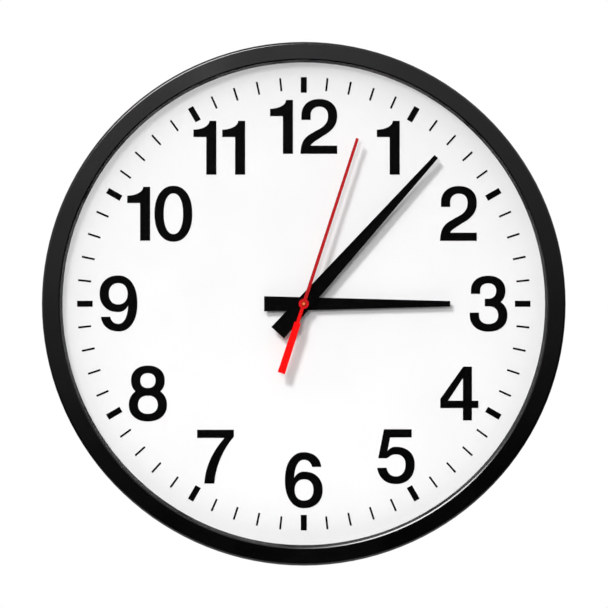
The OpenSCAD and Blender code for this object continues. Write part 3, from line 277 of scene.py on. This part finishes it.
floor_mesh = bpy.data.meshes.new("floor")
shape = bmesh.new()
bmesh.ops.create_circle(shape, cap_ends=True, segments=64, radius=FLOOR_R)
shape.to_mesh(floor_mesh)
shape.free()
floor = bpy.data.objects.new("floor", floor_mesh)
floor.location = (0, 0, FLOOR_Z)
bpy.context.scene.collection.objects.link(floor)
floor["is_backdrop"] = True
print("floor at", round(FLOOR_Z / MM), "mm")

# %% Floor paint
floor_paint = bpy.data.materials.new("floor_paint")
floor_paint.use_nodes = True
floor_paint.node_tree.nodes.clear()
place = add(floor_paint, "TexCoord").outputs["Object"]
from_middle = vector_maths(floor_paint, "LENGTH", place)
fade = ramp(floor_paint, from_middle, FADE_FROM_R, FLOOR_R, eased=True)
underside = add(floor_paint, "NewGeometry").outputs["Backfacing"]
hidden = maths(floor_paint, "MAXIMUM", fade, underside)
paint = add(floor_paint, "BsdfPrincipled", inputs={"Base Color": linear("#f2f2f2"), "Roughness": 0.7})
gone = add(floor_paint, "BsdfTransparent")
faded = add(floor_paint, "MixShader", inputs={0: hidden, 1: paint.outputs[0], 2: gone.outputs[0]})
add(floor_paint, "OutputMaterial", inputs={"Surface": faded.outputs[0]})
floor_mesh.materials.append(floor_paint)
print("painted", floor.name)

# %% [markdown]
# ## How the finishes are built
#
# Each finish starts the same way: a Principled shader with its typical values, and the
# coordinates of the piece in metres. A pattern's scale is then one over its real size, so
# `noise(material, place, 0.5, 3)` has a grain of half a millimetre, with three layers of
# finer detail. Most of a noise's values lie between 0.3 and 0.7, and those two are spread
# over the whole range between two colours or two roughnesses. `bumps` turns a pattern into
# a relief of a real height, and `keep` puts a finish in the list that pieces choose from.

# %% Helpers for finishes
NOISE_LOW, NOISE_HIGH = 0.3, 0.7
COLOUR_A, COLOUR_B, COLOUR_OUT = 6, 7, 2
finishes = {}


def finish(name, colour, roughness, metallic=0.0, ior=1.5):
    material = bpy.data.materials.new(name)
    material.use_nodes = True
    material.node_tree.nodes.clear()
    shader = add(
        material,
        "BsdfPrincipled",
        inputs={"Base Color": linear(colour), "Roughness": roughness, "Metallic": metallic, "IOR": ior},
    )
    add(material, "OutputMaterial", inputs={"Surface": shader.outputs[0]})
    return material, shader, add(material, "TexCoord").outputs["Object"]


def plug(material, socket, shader, name):
    material.node_tree.links.new(socket, shader.inputs[name])


def per_mm(size):
    return 1 / (size * MM)


def noise(material, place, size, detail):
    inputs = {"Vector": place, "Scale": per_mm(size), "Detail": detail}
    return add(material, "TexNoise", inputs=inputs).outputs[0]


def blend(material, factor, first, second, blend_type="MIX"):
    settings = {"data_type": "RGBA", "blend_type": blend_type}
    inputs = {"Factor": factor, COLOUR_A: first, COLOUR_B: second}
    return add(material, "Mix", settings, inputs).outputs[COLOUR_OUT]


def two_tone(material, shader, pattern, dark, light, low=NOISE_LOW, high=NOISE_HIGH):
    colour = blend(material, ramp(material, pattern, low, high), linear(dark), linear(light))
    plug(material, colour, shader, "Base Color")
    return colour


def vary_roughness(material, shader, pattern, low, high):
    spread = ramp(material, pattern, NOISE_LOW, NOISE_HIGH, low, high)
    plug(material, spread, shader, "Roughness")


def bumps(material, shader, pattern, height):
    bump = add(material, "Bump", inputs={"Height": pattern, "Distance": height * MM, "Strength": 1.0})
    plug(material, bump.outputs[0], shader, "Normal")


def keep(material):
    finishes[material.name] = material
    print("made", material.name)


print("a grain of 0.5 mm has the scale", round(per_mm(0.5)))

# %% [markdown]
# ## Black moulded ABS
#
# The drum, the rear case, the door and the spacer are injection-moulded ABS with a soft
# shine. Black plastic shows almost nothing of its own colour:
# what the eye reads is the soft reflection of the room, lighter at the top of the rim and
# nearly black at the bottom. So the base is very dark and the roughness carries the look.
# The mould's spark-eroded grain is about 0.1 mm, too fine to show here, so it is drawn at
# 0.9 mm and very shallow. Slow patches in the roughness are the handling marks that any
# black case picks up.

# %% Black ABS
material, shader, place = finish("abs_moulded_black", "#070707", 0.16, ior=1.53)
grain = noise(material, place, 0.9, 3)
patches = noise(material, place, 38, 4)
two_tone(material, shader, patches, "#030303", "#070707")
vary_roughness(material, shader, patches, 0.12, 0.16)
bumps(material, shader, grain, 0.0015)
keep(material)

# %% [markdown]
# ## Clear acrylic lens
#
# A cast acrylic sheet 2 mm thick, IOR 1.49. Real glass shaders cast dark shadows in a path
# tracer because lamps can't find their way through by chance. The Light Path node gives
# shadow rays, and light that has already bounced, a plain see-through surface instead, so
# the dial behind gets its full light once while the camera still sees true acrylic. A
# faint slow bump keeps its reflections from being perfectly flat.

# %% Clear acrylic
material, shader, place = finish("acrylic_cast_clear", "#fdfdfd", 0.015, ior=1.49)
shader.inputs["Transmission Weight"].default_value = 1.0
wave = noise(material, place, 60, 1)
bumps(material, shader, wave, 0.004)
through = add(material, "BsdfTransparent", inputs={"Color": linear("#fdfdfd")})
ray = add(material, "LightPath").outputs
bounced = maths(material, "MAXIMUM", ray["Is Diffuse Ray"], ray["Is Glossy Ray"])
unseen = maths(material, "MAXIMUM", bounced, ray["Is Shadow Ray"])
clear = add(material, "MixShader", inputs={0: unseen, 1: shader.outputs[0], 2: through.outputs[0]})
output = next(n for n in material.node_tree.nodes if n.type == "OUTPUT_MATERIAL")
plug(material, clear.outputs[0], output, "Surface")
keep(material)

# %% [markdown]
# ## Foam seal
#
# The ring under the lens is cut from closed-cell polyethylene foam. Its cells are about
# 0.3 mm, and a Voronoi pattern drawn at 0.7 mm gives the same pitted, dull look. Its colour
# is darker at the bottom of each pit, as painted shade.

# %% Closed-cell foam
material, shader, place = finish("foam_closed_cell_black", "#121212", 0.9)
pits = add(material, "TexVoronoi", inputs={"Vector": place, "Scale": per_mm(0.7)}).outputs["Distance"]
# Painted shade: darker at the bottom of each pit.
two_tone(material, shader, pits, "#0c0c0c", "#1d1d1d")
bumps(material, shader, pits, 0.08)
keep(material)

# %% [markdown]
# ## White dial sheet
#
# The dial is a sheet with a matt white print coat. It is the brightest thing in the
# picture, and its colour stays just under pure white so that light can still shade it. The
# print coat has a fine tooth and slight clouding that only shows at grazing light.

# %% Matt white print coat
material, shader, place = finish("print_coat_matt_white", "#f9f9f8", 0.62)
tooth = noise(material, place, 0.6, 4)
clouds = noise(material, place, 45, 3)
two_tone(material, shader, clouds, "#f7f7f7", "#fbfbfb")
vary_roughness(material, shader, tooth, 0.56, 0.68)
bumps(material, shader, tooth, 0.004)
keep(material)

# %% [markdown]
# ## Black dial print
#
# Numerals and marks are screen printed: a thick, even ink that is smooth but mirrors less
# than bare plastic. The mesh of the screen, about 0.1 mm, leaves a trace of texture that is
# drawn here at 0.5 mm.

# %% Screen ink
PAINT_SPECULAR = 0.3
material, shader, place = finish("screen_ink_black", "#050505", 0.22)
shader.inputs["Specular IOR Level"].default_value = PAINT_SPECULAR
screen = noise(material, place, 0.5, 2)
two_tone(material, shader, screen, "#020202", "#050505")
vary_roughness(material, shader, screen, 0.16, 0.21)
bumps(material, shader, screen, 0.001)
keep(material)

# %% [markdown]
# ## Painted hands
#
# The hands are stamped from thin aluminium and spray painted. Spray paint dries with a
# fine orange peel about 0.8 mm wide. The second hand's paint is one red, and painted light
# makes it brighter at the counterweight end and darker along the thin needle. The change
# runs along the hand, so the material measures the distance along it, using the direction
# the hand points at rest.

# %% Black hand paint
PEEL = 0.8
material, shader, place = finish("aluminium_sprayed_black", "#050505", 0.22)
shader.inputs["Specular IOR Level"].default_value = PAINT_SPECULAR
peel = noise(material, place, PEEL, 1.5)
two_tone(material, shader, peel, "#020202", "#050505")
vary_roughness(material, shader, peel, 0.16, 0.21)
bumps(material, shader, peel, 0.001)
keep(material)

# %% Red hand paint
SECOND_ANGLE = math.radians(18)
ALONG_HAND = (math.sin(SECOND_ANGLE), 0, math.cos(SECOND_ANGLE))
# Painted light and shade along the second hand: brighter red up to the first limit, darker from the
# second along the needle.
PAINTED_LIGHT_UP_TO, PAINTED_SHADE_FROM = -12 * MM, 6 * MM
MOTTLE = 0.12

material, shader, place = finish("aluminium_sprayed_red", "#d81014", 0.24)
peel = noise(material, place, PEEL, 1.5)
along = vector_maths(material, "DOT_PRODUCT", place, ALONG_HAND)
# Painted light: the red brightens towards the counterweight and darkens along the needle.
painted_light_along = ramp(material, along, PAINTED_LIGHT_UP_TO, PAINTED_SHADE_FROM)
red = two_tone(material, shader, painted_light_along, "#ff0000", "#b8141a", 0, 1)
spots = add(material, "ValToRGB", inputs={"Fac": peel})
spots.color_ramp.elements[0].color = (0.9, 0.9, 0.9, 1)
mottled = blend(material, MOTTLE, red, spots.outputs[0], "MULTIPLY")
plug(material, mottled, shader, "Base Color")
vary_roughness(material, shader, peel, 0.2, 0.28)
bumps(material, shader, peel, 0.001)
keep(material)

# %% [markdown]
# ## Metals
#
# Three metals show: zinc-plated steel on the hanger, screws, pins and cans, bright nickel
# on the battery contacts, springs and cell ends, and brass on the second hand's bush,
# dipped in a dark red lacquer. A metal's colour is its reflection, so the base colours are light, and the
# finish lies in how the roughness is streaked. Rolled sheet has streaks along one way:
# the noise is stretched along z until each grain is a line.

# %% Zinc-plated steel
ALONG_SHEET = (1, 1, 0.06)
material, shader, place = finish("steel_zinc_plated", "#c4c6c4", 0.34, metallic=1.0)
rolled = add(material, "Mapping", inputs={"Vector": place, "Scale": ALONG_SHEET}).outputs[0]
streaks = noise(material, rolled, 0.5, 3)
bloom = noise(material, place, 6, 4)
two_tone(material, shader, bloom, "#b4b3a6", "#cfd3d6")
vary_roughness(material, shader, streaks, 0.26, 0.44)
bumps(material, shader, streaks, 0.004)
keep(material)

# %% Bright nickel
material, shader, place = finish("spring_steel_nickel", "#d3d0c8", 0.2, metallic=1.0)
haze = noise(material, place, 2, 4)
two_tone(material, shader, haze, "#c6c2b8", "#dcdad4")
vary_roughness(material, shader, haze, 0.14, 0.28)
bumps(material, shader, haze, 0.003)
keep(material)

# %% Lacquered brass
material, shader, place = finish("brass_lacquered_red", "#8e1a12", 0.35, metallic=0.4)
streaks = noise(material, place, 0.6, 2)
two_tone(material, shader, streaks, "#8e1710", "#b52a1e")
bumps(material, shader, streaks, 0.002)
keep(material)

# %% [markdown]
# ## The movement's plastics
#
# The movement's case and the sync button are grey ABS. The gears are natural acetal, a
# milky white, slightly see-through, nylon-like plastic. Chips are epoxy filled with silica,
# which leaves a fine matt speckle, and the board is glass laminate under green solder mask
# with copper tracks that show as slightly raised, lighter lanes.
#
# Some wheels turn on a metal arbor that is part of the same piece. Their materials tell the
# parts by how far they lie from the wheel's axis: metal near it, plastic further out, and
# on a rotor the dark magnet outside. The brass end of the seconds arbor shows in the
# middle of the red bush. Pure metal would mirror the dark room there, so the brass is only
# a quarter metallic and its bright orange colour is a painted reflection.

# %% Grey ABS
material, shader, place = finish("abs_moulded_grey", "#85898d", 0.5, ior=1.53)
grain = noise(material, place, 0.4, 3)
flow = noise(material, place, 14, 3)
two_tone(material, shader, flow, "#7f8387", "#8e9296")
vary_roughness(material, shader, grain, 0.42, 0.56)
bumps(material, shader, grain, 0.01)
keep(material)

# %% Natural acetal
material, shader, place = finish("acetal_natural", "#e6e3d8", 0.38, ior=1.48)
shader.inputs["Subsurface Weight"].default_value = 0.15
shader.inputs["Subsurface Scale"].default_value = 0.8 * MM
flow = noise(material, place, 5, 3)
two_tone(material, shader, flow, "#dedacb", "#edebe2")
vary_roughness(material, shader, flow, 0.32, 0.45)
bumps(material, shader, flow, 0.01)
keep(material)

# %% Acetal wheel on a brass arbor
ARBOR_R = 0.85 * MM
BRASS_METALLIC = 0.25


def from_axis(material, place, centre):
    off = vector_maths(material, "SUBTRACT", place, centre)
    flat = vector_maths(material, "MULTIPLY", off, (1, 0, 1))
    return vector_maths(material, "LENGTH", flat)


material, shader, place = finish("acetal_on_brass_arbor", "#e6e3d8", 0.4, ior=1.48)
flow = noise(material, place, 5, 3)
plastic = two_tone(material, shader, flow, "#dedacb", "#edebe2")
arbor = maths(material, "LESS_THAN", from_axis(material, place, (0, 0, 0)), ARBOR_R)
# The arbor's bright orange is a painted reflection of the brass end.
plug(material, blend(material, arbor, plastic, linear("#ff8f3c")), shader, "Base Color")
plug(material, maths(material, "MULTIPLY", arbor, BRASS_METALLIC), shader, "Metallic")
bumps(material, shader, flow, 0.01)
keep(material)

# %% Acetal pinion and ferrite magnet on a steel pivot
PIVOT_R = 0.55 * MM
MAGNET_FROM_R = 1.85 * MM


def rotor_finish(name, piece):
    material, shader, place = finish(name, "#e6e3d8", 0.4, ior=1.48)
    low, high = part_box(piece)
    centre = ((low[0] + high[0]) / 2, 0, (low[2] + high[2]) / 2)
    flow = noise(material, place, 3, 3)
    plastic = two_tone(material, shader, flow, "#dedacb", "#edebe2")
    radius = from_axis(material, place, centre)
    magnet = maths(material, "GREATER_THAN", radius, MAGNET_FROM_R)
    pivot = maths(material, "LESS_THAN", radius, PIVOT_R)
    with_magnet = blend(material, magnet, plastic, linear("#3a3d42"))
    whole = blend(material, pivot, with_magnet, linear("#c4c6c4"))
    plug(material, whole, shader, "Base Color")
    plug(material, pivot, shader, "Metallic")
    bumps(material, shader, flow, 0.006)
    keep(material)


rotor_finish("acetal_and_magnet_left", "seconds_rotor")
rotor_finish("acetal_and_magnet_right", "minutes_rotor")

# %% Moulded epoxy
material, shader, place = finish("epoxy_moulded_black", "#17181a", 0.6)
speckle = noise(material, place, 0.15, 2)
two_tone(material, shader, speckle, "#121315", "#232427")
vary_roughness(material, shader, speckle, 0.5, 0.7)
bumps(material, shader, speckle, 0.01)
keep(material)

# %% Solder mask
BOARD_UPRIGHT = (math.radians(90), 0, 0)
TRACKS = {"Brick Width": 5.3, "Row Height": 1.27, "Mortar Size": 0.16, "Mortar Smooth": 0.2}
UNEVEN_ROWS = {"offset": 0.37, "squash": 0.6, "squash_frequency": 3}

material, shader, place = finish("laminate_green_mask", "#175c31", 0.28)
on_board = add(material, "Mapping", inputs={"Vector": place, "Rotation": BOARD_UPRIGHT}).outputs[0]
pattern = {"Vector": on_board, "Scale": per_mm(1), **TRACKS}
lanes = add(material, "TexBrick", UNEVEN_ROWS, pattern).outputs["Fac"]
two_tone(material, shader, lanes, "#14522b", "#2a8048", 0, 1)
vary_roughness(material, shader, lanes, 0.24, 0.34)
bumps(material, shader, lanes, 0.02)
keep(material)

# %% [markdown]
# ## Windings, ferrite and wire
#
# Coils are wound from enamelled copper wire. Each turn shows as a fine ridge along the
# coil's axis, which lies along x here, so a wave of bands along x is the right pattern. The
# copper is darker in the grooves between turns and lighter on their crests, as painted shade
# and painted highlight on the round wire.
# The real wire is 0.1 mm thick, and the bands stand for many turns each: they are 3.1 mm
# wide. A wave texture of scale 1 has ten bands in pi units, which sets its scale here. The
# bobbins' end cheeks are white nylon, and the material picks them out by how far they lie
# along x. The aerial has no cheeks. Its rod is fired ferrite, a dark grey ceramic.

# %% Enamelled copper, with the bobbins' nylon cheeks
BAND_WIDTH = math.pi
WAVE_PERIOD = math.pi / 10
CHEEK = 0.8 * MM
NO_CHEEKS = 1.0


def winding(name, middle, half_length):
    material, shader, place = finish(name, "#a5522a", 0.32)
    along_x = {"wave_type": "BANDS", "bands_direction": "X", "wave_profile": "SIN"}
    scale = WAVE_PERIOD * per_mm(BAND_WIDTH)
    uneven = {"Distortion": 0.3, "Detail Scale": 3.0}
    wave = add(material, "TexWave", along_x, {"Vector": place, "Scale": scale, **uneven})
    turns = wave.outputs["Fac"]
    # Painted shade in the grooves between turns and painted highlight on their crests.
    copper = two_tone(material, shader, turns, "#7a3416", "#c06a3a", 0, 1)
    along = add(material, "SeparateXYZ", inputs={0: place}).outputs["X"]
    from_middle = maths(material, "ABSOLUTE", maths(material, "SUBTRACT", along, middle))
    cheek = maths(material, "GREATER_THAN", from_middle, half_length)
    plug(material, blend(material, cheek, copper, linear("#e9e6dc")), shader, "Base Color")
    bumps(material, shader, turns, 0.06)
    keep(material)


low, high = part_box("minutes_coil")
coil_middle = (low[0] + high[0]) / 2
coil_half = (high[0] - low[0]) / 2 - CHEEK
winding("copper_enamelled_right", coil_middle, coil_half)
winding("copper_enamelled_left", -coil_middle, coil_half)
winding("copper_enamelled_aerial", 0, NO_CHEEKS)
print("coil half length:", round(coil_half / MM, 2), "mm")

# %% Ferrite
material, shader, place = finish("ferrite_fired", "#2f2c2b", 0.55)
pores = noise(material, place, 0.4, 4)
two_tone(material, shader, pores, "#242221", "#3c3937")
vary_roughness(material, shader, pores, 0.45, 0.65)
bumps(material, shader, pores, 0.02)
keep(material)

# %% [markdown]
# ## Battery leads
#
# Two wires in soft PVC run from the battery contacts to the board, one red and one black.
# They are one piece of the model, so the finish tells them apart by their routes: the
# black one lies outside the red one, and above it where both cross over. The line between
# them in the crossing slopes a little, as the wires do.

# %% PVC wire sheath
OUTER_FROM_X = 35 * MM
LOWEST_UP_TO_Z = -60 * MM
CROSSING_FROM_X = 15 * MM
CROSSING_Z = -30.8 * MM
CROSSING_SLOPE = 0.15

material, shader, place = finish("pvc_sheath_red_black", "#8c1a18", 0.4)
dirt = noise(material, place, 1.5, 3)
red = two_tone(material, shader, dirt, "#85100f", "#a82320")
parts = add(material, "SeparateXYZ", inputs={0: place}).outputs
outer = maths(material, "GREATER_THAN", parts["X"], OUTER_FROM_X)
lowest = maths(material, "LESS_THAN", parts["Z"], LOWEST_UP_TO_Z)
level = maths(material, "MULTIPLY_ADD", parts["X"], CROSSING_SLOPE, parts["Z"])
above = maths(material, "GREATER_THAN", level, CROSSING_Z)
crossing = maths(material, "GREATER_THAN", parts["X"], CROSSING_FROM_X)
upper = maths(material, "MULTIPLY", above, crossing)
black = maths(material, "MAXIMUM", maths(material, "MAXIMUM", outer, lowest), upper)
plug(material, blend(material, black, red, linear("#151515")), shader, "Base Color")
vary_roughness(material, shader, dirt, 0.34, 0.48)
bumps(material, shader, dirt, 0.01)
keep(material)

# %% [markdown]
# ## Dress the pieces that keep their shape
#
# Every piece of the model has one material slot. This table says what each one is made
# of. The model's shapes aren't touched.

# %% Give each piece its finish
MADE_OF = {
    "abs_moulded_black": ["front_frame", "rear_case", "battery_door", "dial_spacer"],
    "acrylic_cast_clear": ["lens"],
    "foam_closed_cell_black": ["lens_seal"],
    "print_coat_matt_white": ["dial"],
    "screen_ink_black": ["dial_numerals", "dial_hour_marks", "dial_minute_marks"],
    "aluminium_sprayed_black": ["hour_hand", "minute_hand"],
    "aluminium_sprayed_red": ["second_hand"],
    "brass_lacquered_red": ["second_bush"],
    "acetal_on_brass_arbor": ["seconds_wheel"],
    "steel_zinc_plated": [
        "hanger_plate",
        "hanger_rivets",
        "case_screws",
        "movement_screws",
        "door_hinge_pin",
        "receiver_can",
        "quartz_crystal",
        "seconds_stator",
        "minutes_stator",
    ],
    "spring_steel_nickel": ["battery_contacts"],
    "abs_moulded_grey": ["movement_base", "middle_plate", "movement_cover", "sync_button"],
    "acetal_natural": [
        "seconds_idler",
        "minutes_idler",
        "third_wheel",
        "centre_wheel",
        "motion_wheel",
        "hour_wheel",
    ],
    "acetal_and_magnet_left": ["seconds_rotor"],
    "acetal_and_magnet_right": ["minutes_rotor"],
    "laminate_green_mask": ["circuit_board"],
    "epoxy_moulded_black": ["control_chip", "tact_switch", "switch_plunger"],
    "copper_enamelled_right": ["minutes_coil"],
    "copper_enamelled_left": ["seconds_coil"],
    "copper_enamelled_aerial": ["antenna_coil", "antenna_leads"],
    "ferrite_fired": ["antenna_rod"],
    "pvc_sheath_red_black": ["battery_leads"],
}
for name, pieces in MADE_OF.items():
    for piece in pieces:
        nodes[piece].data.materials[0] = finishes[name]
print("dressed:", sum(len(pieces) for pieces in MADE_OF.values()))

# %% [markdown]
# ## Battery cells
#
# A cell is a drawn steel can in a printed plastic sleeve that is shrunk over its ends. A
# turned outline gives all of it: the button, the step to the crimped shoulder, the long
# side and the base with its low round contact plate. The sleeve covers the side and curls
# a little over both ends, so each point of the outline says whether it lies on the sleeve,
# and a face with sleeve at both its ends is sleeve. The rest is steel.
#
# The cells' meshes are in millimetres and each cell is scaled to metres, so in the sleeve's
# material coordinates are millimetres too. Its two colours meet in the middle of the cell.
# The film's own grain, 5 thousandths of a millimetre, is far too fine to see and only
# roughens the sleeve. `noise` takes its coordinates for metres, so the grain is given to
# it divided by `MM`.

# %% Sleeve finish
SLEEVE_GRAIN = 0.005 / MM
COLOURS_MEET = (0.0109, 0.0111)

material, shader, place = finish("pvc_sleeve_printed", "#3a3e43", 0.3)
along = add(material, "SeparateXYZ", inputs={0: place}).outputs["X"]
band = ramp(material, along, *COLOURS_MEET)
two_tone(material, shader, band, "#2f4350", "#b9bcba", 0, 1)
film = noise(material, place, SLEEVE_GRAIN, 3)
vary_roughness(material, shader, film, 0.2, 0.36)
bumps(material, shader, film, 0.03)
keep(material)

# %% Turned outline of a cell
CELL_SIDES = 48
# Radius, place along the axis from the base to the button, and 1 on the sleeve.
CELL_OUTLINE = [
    (0.0, -25.1, 0), (2.6, -25.1, 0), (3.1, -24.9, 0), (5.6, -24.9, 0), (5.9, -25.05, 1),
    (6.6, -25.0, 1), (7.0, -24.7, 1), (7.1, -24.2, 1), (7.1, 23.0, 1), (7.0, 23.4, 1),
    (6.6, 23.65, 1), (5.9, 23.7, 1), (5.5, 23.55, 0), (2.9, 23.6, 0), (2.65, 23.75, 0),
    (2.6, 24.8, 0), (2.3, 25.1, 0), (0.0, 25.1, 0),
]


def cell_ring(shape, radius, along):
    count = CELL_SIDES if radius > 0 else 1
    angles = [2 * math.pi * i / CELL_SIDES for i in range(count)]
    return [shape.verts.new((along, radius * math.cos(a), radius * math.sin(a))) for a in angles]


def cell_mesh(name):
    shape = bmesh.new()
    rings = [cell_ring(shape, radius, along) for radius, along, _ in CELL_OUTLINE]
    for i in range(len(rings) - 1):
        a, b = rings[i], rings[i + 1]
        on_sleeve = CELL_OUTLINE[i][2] and CELL_OUTLINE[i + 1][2]
        for k in range(CELL_SIDES):
            n = (k + 1) % CELL_SIDES
            corners = [a[k % len(a)], b[k % len(b)], b[n % len(b)], a[n % len(a)]]
            face = shape.faces.new(list(dict.fromkeys(corners)))
            face.material_index = 0 if on_sleeve else 1
            face.smooth = True
    bmesh.ops.recalc_face_normals(shape, faces=shape.faces)
    mesh = bpy.data.meshes.new(name)
    shape.to_mesh(mesh)
    shape.free()
    mesh.materials.append(finishes["pvc_sleeve_printed"])
    mesh.materials.append(finishes["spring_steel_nickel"])
    return mesh


print("points in the cell's outline:", len(CELL_OUTLINE))

# %% [markdown]
# ## Put the cells in the bay
#
# The two cells lie in the bay end to end opposed, so the second one is turned round. Each
# takes the place of a plain cylinder of the model.

# %% Turned cells
def turned_cell(name, stand_in, button_right):
    low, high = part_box(stand_in)
    cell = bpy.data.objects.new(name, cell_mesh(name))
    turn = Matrix.Rotation(0 if button_right else math.pi, 4, "Y")
    middle = (Vector(low) + Vector(high)) / 2
    cell.matrix_world = Matrix.Translation(middle) @ turn @ Matrix.Scale(MM, 4)
    bpy.context.scene.collection.objects.link(cell)
    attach(cell, "case")
    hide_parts(stand_in)
    return cell


for number, button_right in ((1, True), (2, False)):
    cell = turned_cell(f"cell_{number}", f"battery_cell_{number}", button_right)
    print(cell.name, "faces:", len(cell.data.polygons))

# %% [markdown]
# ## Contact springs
#
# The springs are cones of hard wire that close up flat at their wide end. A curve with a
# round bevel is the simplest swept wire: its points follow the cone, and the first half
# turn lies flat before the wire starts to climb towards the cell.

# %% Coiled springs
WIRE_R = 0.4
SPRING_TURNS = 4
STEPS_PER_TURN = 24
SPRING_REACH = 4.9
SPRING_WIDE_R = 4.6
SPRING_TAPER = 2.0
FLAT_SHARE = 0.12


def coiled_spring(name, stand_in, side):
    low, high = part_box(stand_in)
    axis_y = (low[1] + high[1]) / 2 / MM
    axis_z = (low[2] + high[2]) / 2 / MM
    cell_end = (low[0] if side < 0 else high[0]) / MM
    steps = SPRING_TURNS * STEPS_PER_TURN
    curve = bpy.data.curves.new(name, "CURVE")
    curve.dimensions = "3D"
    curve.bevel_depth = WIRE_R * MM
    curve.bevel_resolution = 3
    curve.use_fill_caps = True
    wire = curve.splines.new("POLY")
    wire.points.add(steps)
    for i in range(steps + 1):
        t = i / steps
        rise = max(0.0, (t - FLAT_SHARE) / (1 - FLAT_SHARE))
        angle = 2 * math.pi * SPRING_TURNS * t
        radius = SPRING_WIDE_R - SPRING_TAPER * t
        x = cell_end + side * (SPRING_REACH - WIRE_R - rise * (SPRING_REACH - 2 * WIRE_R))
        y = axis_y + radius * math.cos(angle)
        z = axis_z + radius * math.sin(angle)
        wire.points[i].co = (x * MM, y * MM, z * MM, 1)
    curve.materials.append(finishes["spring_steel_nickel"])
    spring = bpy.data.objects.new(name, curve)
    bpy.context.scene.collection.objects.link(spring)
    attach(spring, "case")
    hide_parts("battery_springs")
    return spring


SPRINGS = (("spring_left", "battery_cell_1", -1), ("spring_right", "battery_cell_2", 1))
for name, stand_in, side in SPRINGS:
    spring = coiled_spring(name, stand_in, side)
    print(spring.name, "turns:", SPRING_TURNS)

# %% [markdown]
# ## Last checks
#
# The dressed clock has to keep the size of the model, so the growth of its box over the
# model's box is printed.

# %% Sizes and finish
dressed_low, dressed_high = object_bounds()
grown = (dressed_high - dressed_low) - (model_high - model_low)
print("box grew by mm:", [round(v / MM, 2) for v in grown])
